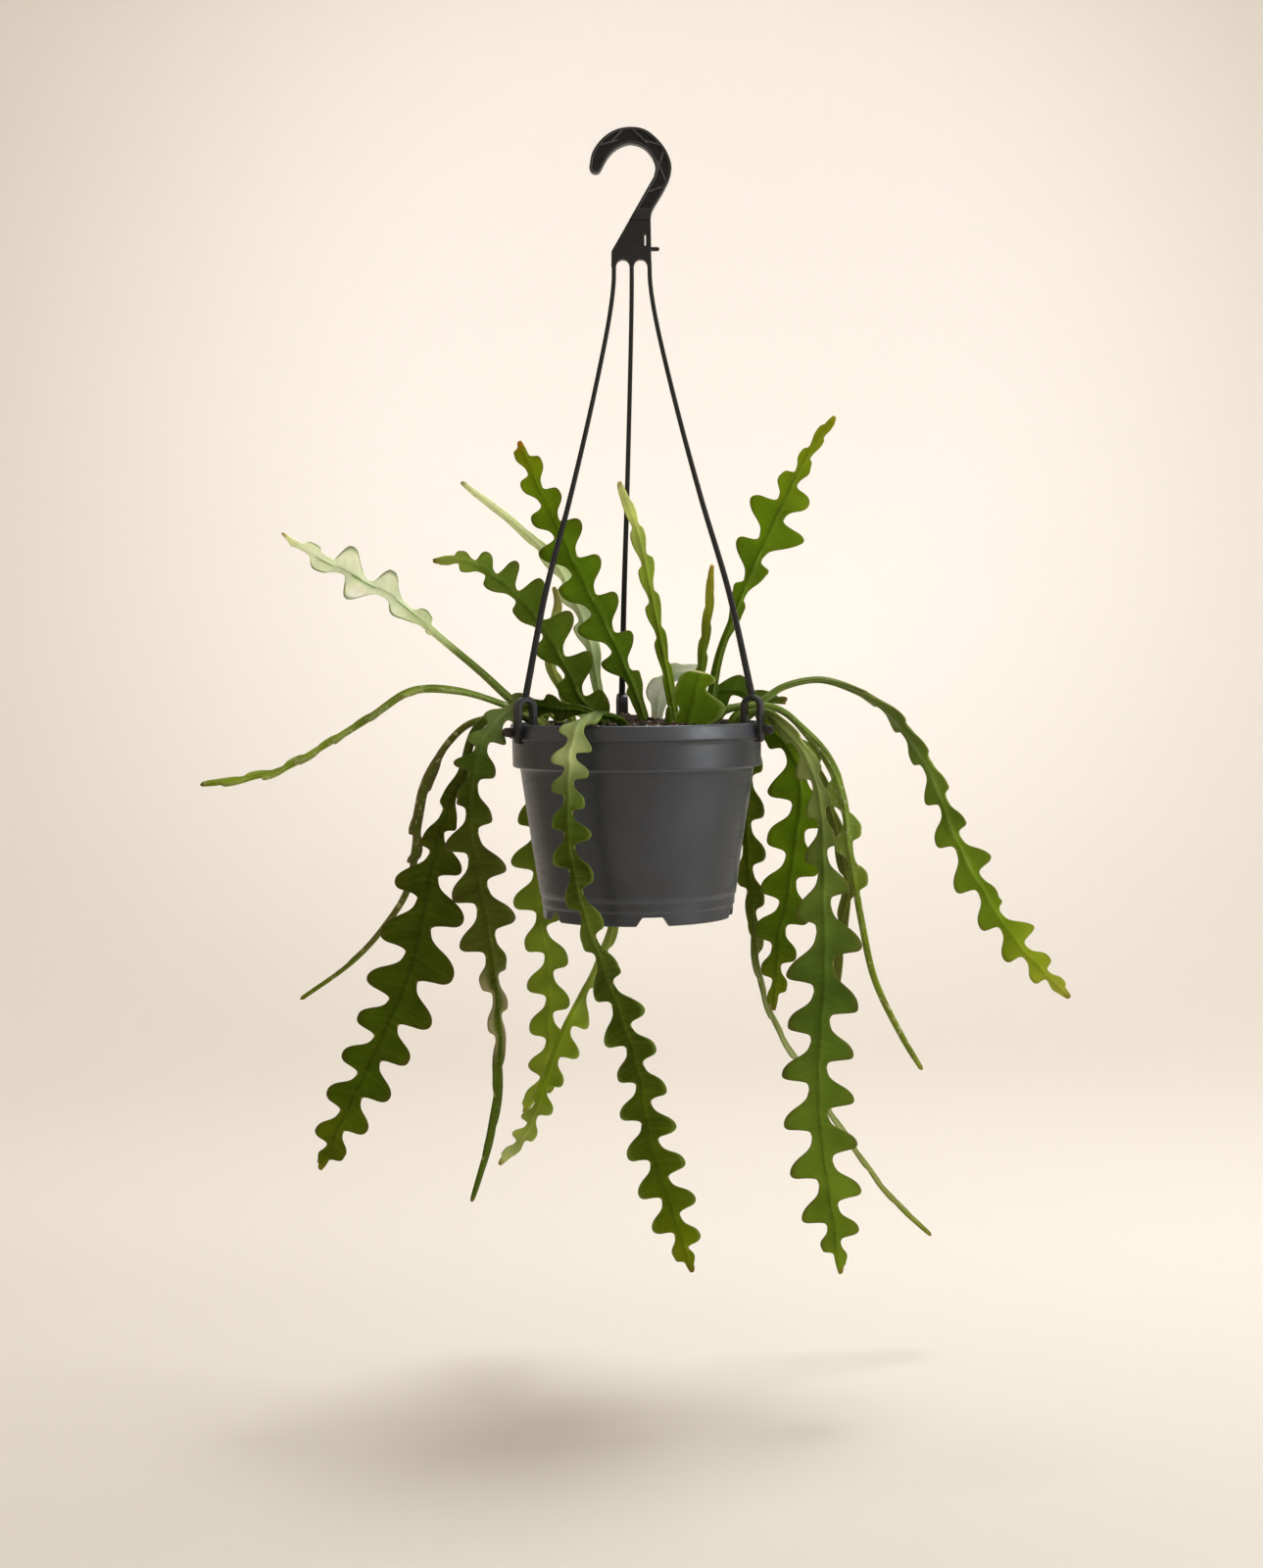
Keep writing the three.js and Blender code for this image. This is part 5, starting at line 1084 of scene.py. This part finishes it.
def extruded(outline_2d, holes, half, bevel, steps=3):
    """A part from a flat outline thickened to +-half, its rounded edges paler: wear and painted highlight."""
    curve = bpy.data.curves.new("shape", "CURVE")
    curve.dimensions = "2D"
    curve.fill_mode = "BOTH"
    curve.extrude = half - bevel
    curve.bevel_depth = bevel
    curve.bevel_resolution = steps
    curve.offset = -bevel
    for loop in (outline_2d, *holes):
        line = curve.splines.new("POLY")
        line.points.add(len(loop) - 1)
        line.use_cyclic_u = True
        line.points.foreach_set("co", [value for x, y in loop for value in (x, y, 0, 1)])
    temporary = bpy.data.objects.new("shape", curve)
    scene.collection.objects.link(temporary)
    graph = bpy.context.evaluated_depsgraph_get()
    mesh = bpy.data.meshes.new_from_object(temporary.evaluated_get(graph))
    points = np.array([tuple(vertex.co) for vertex in mesh.vertices])
    faces = [tuple(face.vertices) for face in mesh.polygons]
    bpy.data.objects.remove(temporary)
    bpy.data.curves.remove(curve)
    bpy.data.meshes.remove(mesh)
    depth = np.abs(points[:, 2])
    rounded = (depth > half - bevel + 1e-4) & (depth < half - 1e-4)
    # painted highlight, partly wear, on the rounded edges
    return points, faces, np.where(rounded, EDGE_WEAR_AND_HIGHLIGHT, 1.0)


def turned(points, azimuth):
    """A shape drawn in (outwards, upwards, sideways) stood up at an azimuth round the pot."""
    turn = math.radians(azimuth)
    out, up, side = points.T
    x = out * math.cos(turn) + side * math.sin(turn)
    y = out * math.sin(turn) - side * math.cos(turn)
    return np.stack([x, y, up], -1)


def joined(parts):
    """Several parts (points, faces, tints) as one."""
    points, faces, tints, start = [], [], [], 0
    for part_points, part_faces, part_tints in parts:
        points.append(np.asarray(part_points, float))
        faces += [tuple(int(i) + start for i in face) for face in part_faces]
        tints.append(np.broadcast_to(part_tints, len(part_points)))
        start += len(part_points)
    return np.concatenate(points), faces, np.concatenate(tints)


def build_lugs():
    """One rounded lug on the lip beside each clip."""
    parts = []
    middle = -LIP_HEIGHT / 2
    for name, azimuth in CLIPS.items():
        shape = [(RIM_R - 1.2, middle + LUG_HALF)] + arc(RIM_R + LUG_REACH, middle, LUG_HALF, 90, -90, 14)
        shape.append((RIM_R - 1.2, middle - LUG_HALF))
        points, faces, _ = extruded(shape, [], LUG_WIDTH / 2, 0.7)
        parts.append((turned(points, azimuth + (-LUG_TURN if name == "left" else LUG_TURN)), faces, 1))
    points, faces, tints = joined(parts)
    add_mesh("pot_lugs", points, faces, lug_plastic, tint=tints)


# ---------------------------------------------------------------- hanger
HOOK_OUTER = ((-24.6, -13.2), (-22.7, -4.8), (-17.2, 2.8), (-9.6, 7.8), (-0.4, 9.5), (7.6, 8.1), (14.2, 3.3),
              (20, -4), (23.1, -13.2), (21.9, -20), (18, -28), (11.6, -38.8), (10.8, -42.5))
HOOK_INNER = ((12.7, -19.1), (13.7, -13.4), (11.9, -8), (7.2, -2.6), (0, 0), (-5, -0.9), (-9.5, -3.3),
              (-13.7, -7.7), (-17.2, -13.7))
HOOK_TIP = ((-17.9, -15), (-18.9, -16.2), (-20.3, -16.8), (-22, -16.7), (-23.4, -15.9), (-24.3, -14.6))
# The zig-zag ribs in the hook's hollow, each from one point to another.
HOOK_RIBS = ((-20, -1, -12, 1), (-9, 4, -3, 10), (-1, 10, 6, 3), (10, 1, 17, -1), (19, -3, 16, -12),
             (16, -13, 20, -22), (11, -27, 19, -24.5))
# An arm's path: how far down it is, and how far out, as parts of the whole.
ARM_SPREAD = ((0, 0), (0.04, 0.005), (0.12, 0.055), (0.31, 0.24), (0.54, 0.5), (0.76, 0.775), (1, 1))
HOLLOW_SHADE = 0.5      # painted shade: the web deep in the hook's hollow is darkened as though in shadow
# how much paler the tops of the hook's ribs are: partly wear, partly painted highlight
RIB_WEAR_AND_HIGHLIGHT = 6
POCKET_WEAR_AND_HIGHLIGHT = 1.6       # the rim round the hollow is paler still than other edges: partly rubbed, partly painted highlight
PLATE_FROM = -42.5      # the plate starts here, and overlaps the hook above it
PLATE_STEP = -62        # the plate's right side widens down to here
ARM_SIDES = 16
ARM_STEP = 2.5
ARM_GROOVE = (0.16, 0.05)       # depth and width of the groove in front, as parts of the radius
CLIP_BARB = ((-1.2, -0.9), (-0.8, -2), (2, -2.4), (3, -1))      # the barb under the lip, from the strap


def hook_line(points, count):
    return [tuple(p) for p in spline([(x, z, 0) for x, z in points], count)[:, :2]]


def inset(loop, distance):
    """The loop moved inwards by a distance, corner by corner."""
    loop = np.array(loop)
    before = unit(loop - np.roll(loop, 1, 0))
    after = unit(np.roll(loop, -1, 0) - loop)
    mean = unit(before + after)
    stretch = 1 / np.maximum(0.5, np.sqrt((1 + np.sum(before * after, -1)) / 2))[:, None]
    return loop + np.stack([mean[:, 1], -mean[:, 0]], -1) * distance * stretch


def clip_below(loop, level):
    """The part of a closed loop that stands above a level."""
    result = []
    for (x0, z0), (x1, z1) in zip(loop, np.roll(loop, -1, 0)):
        if z0 >= level:
            result.append((x0, z0))
        if (z0 >= level) != (z1 >= level):
            part = (level - z0) / (z1 - z0)
            result.append((x0 + (x1 - x0) * part, level))
    return result


def within(point, loop):
    """Whether a point is inside a closed loop."""
    x, z = point
    (x0, z0), (x1, z1) = loop.T, np.roll(loop, -1, 0).T
    crossing = (z0 > z) != (z1 > z)
    reach = x0 + (x1 - x0) * (z - z0) / np.where(crossing, z1 - z0, 1)
    return int((crossing & (x < reach)).sum()) % 2 == 1


def hanging(points):
    """A shape drawn in the hook's own plane, moved to its place above the pot."""
    x, z, y = np.asarray(points).T
    return np.stack([x, -y, z + HANG_DROP], -1)


def hook_parts():
    """The hook's pocketed body with its web and ribs, and the plate under it that the arms hang from."""
    outer = hook_line(HOOK_OUTER, 110)
    inner = hook_line(HOOK_INNER, 80)
    arches = []
    for side in ("right", "left"):
        cx = (ARM_TOP_X[side] + ARM_TOP_X["back"]) / 2
        arches += arc(cx, PLATE_BOTTOM, ARCH_R, 0, 180, 18)
    left = ARM_TOP_X["left"] - 1.6
    rest = [PLATE_LEFT] + inner + list(HOOK_TIP)
    start = outer + [(PLATE_RIGHT, PLATE_STEP)]
    whole = start + [(PLATE_RIGHT, PLATE_BOTTOM + 0.05)] + arches + [(left, PLATE_BOTTOM + 0.05)] + rest
    loop = start + [(PLATE_RIGHT, PLATE_BOTTOM), (left, PLATE_BOTTOM)] + rest
    pocket = clip_below(inset(loop, HOOK_EDGE), POCKET_FLOOR)
    above = clip_below(np.array(loop), PLATE_TOP)
    web = extruded(clip_below(inset(loop, HOOK_EDGE / 2), POCKET_FLOOR - 1), [], WEB_THICK / 2, 0.02, 0)
    points, faces, tints = extruded(above, [pocket], HOOK_THICK / 2, 0.4)
    # painted highlight, partly wear: the hook's body round the hollow is paler
    tints = np.where(points[:, 1] < PLATE_TOP + 1, 1, tints * POCKET_WEAR_AND_HIGHLIGHT)
    # painted shade on the web in the hollow
    parts = [(points, faces, np.maximum(tints, 1)), (*web[:2], HOLLOW_SHADE)]
    plate = clip_below(np.array(whole)[::-1] * (1, -1), -PLATE_FROM)
    plate = [(x, -z) for x, z in plate][::-1]
    x0, x1, z0, z1 = PLATE_SLIT
    parts.append(extruded(plate, [[(x0, z0), (x0, z1), (x1, z1), (x1, z0)]], PLATE_THICK / 2, 0.35))
    border = inset(loop, 0.7)
    for ax, az, bx, bz in HOOK_RIBS:
        reach = math.hypot(bx - ax, bz - az)
        along = np.array([bx - ax, bz - az]) / reach
        line = np.array([ax, az]) + along * np.linspace(-4, reach + 4, 90)[:, None]
        line = line[[within(point, border) for point in line]]
        side = np.array([-along[1], along[0]]) * HOOK_RIB / 2
        shape = [line[0] - side, line[-1] - side, line[-1] + side, line[0] + side]
        points, faces, tints = extruded([tuple(p) for p in shape], [], HOOK_THICK / 2 - 0.4, 0.2, 2)
        # painted highlight, partly wear, on the ribs' tops
        parts.append((points, faces, np.where(np.abs(points[:, 2]) > HOOK_THICK / 2 - 0.7, RIB_WEAR_AND_HIGHLIGHT, 1)))
    return [(hanging(points), faces, tints) for points, faces, tints in parts]


def peg_part():
    """The short round peg that sticks out of the plate's right side."""
    rows, sides = 14, 18
    length = PEG_LENGTH + 2 * PEG_R
    share = np.linspace(0, 1, rows)
    along = PLATE_RIGHT - PEG_LENGTH / 2 + length * share
    end = np.clip((along[-1] - along) / PEG_R, 0, 1)
    radius = PEG_R * np.sqrt(1 - (1 - end) ** 2) + 1e-3
    height = HANG_DROP + PEG_Z
    points = [(x, r * math.cos(a), height + r * math.sin(a)) for x, r in zip(along, radius)
              for a in round_turns(sides)]
    return points, tube_faces(rows, sides)[:-1], 1


def arm_part(name):
    """A slim rod: flattened sides and a fine groove down its front."""
    azimuth = math.radians(CLIPS[name])
    seat = (CLIP_INNER_R + CLIP_OUTER_R) / 2
    top = np.array([ARM_TOP_X[name], 0, ARM_TOP_Z])
    end = np.array([seat * math.cos(azimuth), seat * math.sin(azimuth), CLIP_TOP - 1.2])
    drop, spread = np.array(ARM_SPREAD).T
    path = top + (end - top) * np.stack([spread, spread, drop], -1)
    line, run = even(spline(path, 900), ARM_STEP)
    line = np.vstack([line[:1] + (line[:1] - line[1:2]) * 0.8, line])
    run = np.concatenate([[-2], run])
    along = unit(np.gradient(line, axis=0))
    side = unit(np.array([1.0, 0, 0]) - along * along[:, :1])
    out = np.cross(along, side)
    share = np.clip(run / run[-1], 0, 1)
    radius = ARM_TOP_R + (ARM_END_R - ARM_TOP_R) * share**2
    turn = round_turns(ARM_SIDES)
    square = (np.abs(np.cos(turn)) ** 4 + np.abs(np.sin(turn)) ** 4) ** -0.25
    depth, width = ARM_GROOVE
    groove = 1 - depth * np.exp(-((np.cos(turn * 2) - 1) ** 2) / width) * (np.abs(np.sin(turn)) > 0.5)
    section = square * groove
    points = (line[:, None] + side[:, None] * (radius[:, None] * section * np.cos(turn))[..., None]
              + out[:, None] * (radius[:, None] * section * np.sin(turn))[..., None])
    return points.reshape(-1, 3), tube_faces(len(line), ARM_SIDES), 1


def clip_part(name):
    """An inverted U over the rim, with a barb under the lip and a raised ridge round it."""
    middle = (CLIP_INNER_R + CLIP_OUTER_R) / 2
    outer = (CLIP_OUTER_R - CLIP_INNER_R) / 2
    crown = CLIP_TOP - outer
    inner_x, outer_x = CLIP_INNER_R + CLIP_STRAP, CLIP_OUTER_R - CLIP_STRAP
    shape = [(CLIP_INNER_R, crown), (CLIP_INNER_R, CLIP_INNER_FOOT), (inner_x, CLIP_INNER_FOOT)]
    shape += arc(middle, crown, outer - CLIP_STRAP, 180, 0, 20)
    shape += [(outer_x, -LIP_HEIGHT - 0.5)] + beside(outer_x, -LIP_HEIGHT, *CLIP_BARB)
    shape += arc(middle, crown, outer, 0, 174, 28)
    points, faces, tints = extruded(shape, [], CLIP_WIDTH / 2, 0.5)
    ridge = arc(middle, crown, outer - 0.6, 0, 180, 24)
    ridge = [(CLIP_OUTER_R - 0.6, -LIP_HEIGHT)] + ridge + [(CLIP_INNER_R + 0.6, CLIP_INNER_FOOT + 0.6)]
    back = [(x + (middle - x) * 0.2, z - 0.5) for x, z in ridge[::-1]]
    rim_points, rim_faces, rim_tints = extruded(ridge + back, [], CLIP_WIDTH / 2 + 0.25, 0.2, 2)
    return joined([(turned(points, CLIPS[name]), faces, 0.5 + tints * 0.5),
                   (turned(rim_points, CLIPS[name]), rim_faces, rim_tints)])


def build_hanger():
    """Hook, plate, peg, arms and clips as one moulding."""
    parts = hook_parts() + [peg_part()]
    for name in CLIPS:
        parts += [arm_part(name), clip_part(name)]
    points, faces, tints = joined(parts)
    piece = add_mesh("hanger_moulding", points, faces, hanger_plastic, tint=tints)
    edge = piece.modifiers.new("edges", "EDGE_SPLIT")
    edge.split_angle = math.radians(38)
    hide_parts("hanger")


# ---------------------------------------------------------------- potting mix
SOIL_RINGS = 60
SOIL_SIDES = 200


def soil_height(x, y):
    """The top of the mix: a low mound with lumps, and a heap beside the back clip."""
    far = (x * x + y * y) / SOIL_R**2
    lumps = 0.9 * np.sin(0.31 * x + 1.3) * np.sin(0.27 * y + 0.4) + 0.6 * np.sin(0.63 * x - 0.5 * y)
    heap_x, heap_y, height, spread = SOIL_HEAP
    heap = height * np.exp(-((x - heap_x) ** 2 + (y - heap_y) ** 2) / spread**2)
    return SOIL_MOUND + (SOIL_SINK - SOIL_MOUND) * far + heap + lumps * (1 - 0.6 * far)


def build_soil():
    """A crumbly top, and plain sides and bottom inside the pot."""
    share = np.linspace(0.004, 1, SOIL_RINGS) ** 0.8
    turn = round_turns(SOIL_SIDES)
    x = share[:, None] * SOIL_R * np.cos(turn)
    y = share[:, None] * SOIL_R * np.sin(turn)
    crumbs = 0.55 * waves(x, y, 31, 5, 16) + 0.4 * waves(x, y, 32, 2.6, 16)
    top = np.stack([x, y, soil_height(x, y) + crumbs * (1 - 0.5 * share[:, None] ** 4)], -1)
    floor = -POT_HEIGHT + FOOT_LIFT
    sides = [(BAND_R - WALL - 0.6, SEAT), (BAND_R - WALL - 0.6, BAND_BOTTOM + 1),
             (BODY_TOP_R - WALL - 0.8, BAND_BOTTOM - 1), (FOOT_R - WALL - 0.6, floor + 4),
             (FOOT_R - WALL - 3, floor + WALL + 0.5)]
    rows = [np.stack([r * np.cos(turn), r * np.sin(turn), np.full(SOIL_SIDES, float(z))], -1)
            for r, z in sides]
    points = np.concatenate([top.reshape(-1, 3)] + rows)
    faces = tube_faces(SOIL_RINGS + len(sides), SOIL_SIDES)
    piece = add_mesh("soil_mix", points, faces, soil_crumb)
    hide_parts("soil")


def scatter(name, material, count, sizes, stretch, sink, seed, rings=2):
    """Loose bits half sunk in the mix, each a lumpy pebble of its own shape."""
    source = np.random.default_rng(seed)
    ball = bmesh.new()
    bmesh.ops.create_icosphere(ball, subdivisions=rings, radius=1)
    ball.verts.index_update()
    shell = np.array([tuple(vertex.co) for vertex in ball.verts])
    faces = [tuple(vertex.index for vertex in face.verts) for face in ball.faces]
    ball.free()
    parts = []
    for _ in range(count):
        radius = SOIL_R * math.sqrt(source.uniform(0, 0.97))
        turn = source.uniform(0, 2 * math.pi)
        x, y = radius * math.cos(turn), radius * math.sin(turn)
        size = source.uniform(*sizes)
        scale = size * np.array([source.uniform(*stretch), 1, source.uniform(0.55, 0.9)])
        lumps = np.sin(shell @ source.uniform(-4, 4, (3, 3)) + source.uniform(0, 6, 3))
        lump = 1 + 0.22 * lumps.sum(1) / 1.7
        spin = Matrix.Rotation(source.uniform(0, 6.28), 3, "Z")
        spin = spin @ Matrix.Rotation(source.uniform(-0.6, 0.6), 3, "X")
        points = (shell * lump[:, None] * scale) @ np.array(spin).T
        z = float(soil_height(x, y)) + size * sink
        parts.append((points + (x, y, z), faces, 1))
    points, faces, _ = joined(parts)
    add_mesh(name, points, faces, material, flat=True)


build_pot()
build_lugs()
build_hanger()
build_soil()
scatter("perlite_bits", perlite_skin, 150, (0.35, 1.1), (1, 1.5), 0.2, 41)
scatter("bark_bits", bark_skin, 260, (0.45, 1.3), (1.4, 3.2), 0.15, 42)
scatter("soil_bits", soil_crumb, 620, (0.5, 1.7), (1, 1.7), 0.2, 43, 1)

# ---------------------------------------------------------------- stage, light and camera
FLOOR_DROP = 735        # the floor below the bearing point of the hook
BOWL_R = 2.6            # the floor curves up into a wall all round, this far out
BOWL_HEIGHT = 2.6
BOWL_TURN = 1.5
BOWL_SIDES = 96
GLOW_AT = (0.12, 2.5, 0.25)     # middle of the painted pool of light, where the paper itself glows, behind the plant
GLOW_RUN = (0.5, 1.85)          # it fades out over these distances, a little sooner sideways
GLOW_SQUEEZE = 1.2
GLOW = 0.34
GLOW_COLOUR = linear(250, 248, 246)
FRONT_SHADE_RUN = (2.35, 3.0)         # painted shade: the paper is darker this far from it, towards the viewer
FRONT_SHADE_SHARE = 0.22
FRONT_SHADE_TINT = (0.2, 0.17, 0.13)
PAPER = linear(245, 237, 226)
AIR = (1.0, 0.92, 0.84, 1)
AIR_STRENGTH = 0.335
AIM = (0, 0, -0.4)


def stage_material(name):
    """Studio paper that glows in a soft painted pool of light behind the plant, with painted shade towards
    the viewer.
    """
    nodes = Nodes(name, PAPER, 0.95, Specular_IOR_Level=0.1)
    look = nodes.layer(PAPER, PAPER * 0.95, nodes.noise(0.9, 2, 0.5), 0.25)
    far = nodes.add("ShaderNodeVectorMath", operation="DISTANCE")
    nodes.link(nodes.stretched((GLOW_SQUEEZE, 1, 1)), far.inputs[0])
    far.inputs[1].default_value = (GLOW_AT[0] * GLOW_SQUEEZE, *GLOW_AT[1:])
    # painted light: the paper glows round GLOW_AT and fades out with distance
    pool = nodes.ramp(far.outputs["Value"], *GLOW_RUN, GLOW, 0)
    # painted shade: far from the pool, towards the viewer, the paper darkens to this tint
    front = nodes.ramp(far.outputs["Value"], *FRONT_SHADE_RUN, 0, FRONT_SHADE_SHARE)
    look = nodes.mix(front, look, PAPER * FRONT_SHADE_TINT)
    nodes.shader.inputs["Emission Color"].default_value = (*GLOW_COLOUR, 1)
    nodes.link(pool, nodes.shader.inputs["Emission Strength"])
    return nodes.finish(look)


def build_bowl():
    """A round floor that curves up into a wall, so the stage looks the same from every side."""
    turn_from = BOWL_R - BOWL_TURN
    profile = [(r, 0.0) for r in np.linspace(0, turn_from, 8)]
    profile += [(BOWL_R - BOWL_TURN * (1 - math.sin(a)), BOWL_TURN * (1 - math.cos(a)))
                for a in np.linspace(0, math.pi / 2, 24)[1:]]
    profile += [(BOWL_R, BOWL_TURN + (BOWL_HEIGHT - BOWL_TURN) * k / 4) for k in range(1, 5)]
    points = [(r * math.cos(a), r * math.sin(a), z - FLOOR_DROP * MM) for r, z in profile
              for a in round_turns(BOWL_SIDES)]
    mesh = bpy.data.meshes.new("studio_bowl")
    mesh.from_pydata(points, [], grid_faces(len(profile), BOWL_SIDES, True).tolist())
    mesh.polygons.foreach_set("use_smooth", [True] * len(mesh.polygons))
    mesh.materials.append(stage_material("studio_paper"))
    bowl = bpy.data.objects.new("studio_bowl", mesh)
    scene.collection.objects.link(bowl)


def area_light(name, place_at, size, power, colour):
    """A soft oval lamp that shines towards the pot."""
    data = bpy.data.lights.new(name, "AREA")
    data.shape = "ELLIPSE"
    data.size, data.size_y = size
    data.energy = power
    data.color = colour
    lamp = bpy.data.objects.new(name, data)
    lamp.location = place_at
    lamp.rotation_euler = (Vector(AIM) - Vector(place_at)).to_track_quat("-Z", "Y").to_euler()
    scene.collection.objects.link(lamp)


build_bowl()
world = bpy.data.worlds.new("studio_air")
world.use_nodes = True
air = world.node_tree.nodes["Background"]
air.inputs["Color"].default_value = AIR
air.inputs["Strength"].default_value = AIR_STRENGTH
scene.world = world
area_light("top_light", (0.3, 0.36, 1.35), (0.7, 0.7), 22, (0.95, 0.98, 1.0))
area_light("key_light", (1.25, -1.7, 0.75), (2.0, 2.0), 9, (0.98, 0.99, 1.0))
area_light("side_light", (1.9, -0.9, -0.1), (1.1, 1.7), 34, (0.86, 0.93, 1.0))

CAMERA_AT = (0.0003, -1.282, 0.0375 - HANG_DROP * MM)
PITCH, YAW, ROLL = math.radians(3.30), math.radians(-0.157), math.radians(-0.5)
camera_data = bpy.data.cameras.new("camera")
camera_data.lens = 50
camera_data.sensor_width = 36
camera_data.sensor_fit = "AUTO"
camera_data.clip_end = 30
camera = bpy.data.objects.new("camera", camera_data)
ahead = Vector((math.sin(YAW) * math.cos(PITCH), math.cos(YAW) * math.cos(PITCH), -math.sin(PITCH)))
right = Vector((math.cos(YAW), -math.sin(YAW), 0))
above = right.cross(ahead)
turned_right = right * math.cos(ROLL) + above * math.sin(ROLL)
turned_above = above * math.cos(ROLL) - right * math.sin(ROLL)
camera.matrix_world = Matrix.Translation(CAMERA_AT) @ Matrix(
    (turned_right, turned_above, -ahead)).transposed().to_4x4()
scene.collection.objects.link(camera)
scene.camera = camera
scene.view_settings.view_transform = "Standard"
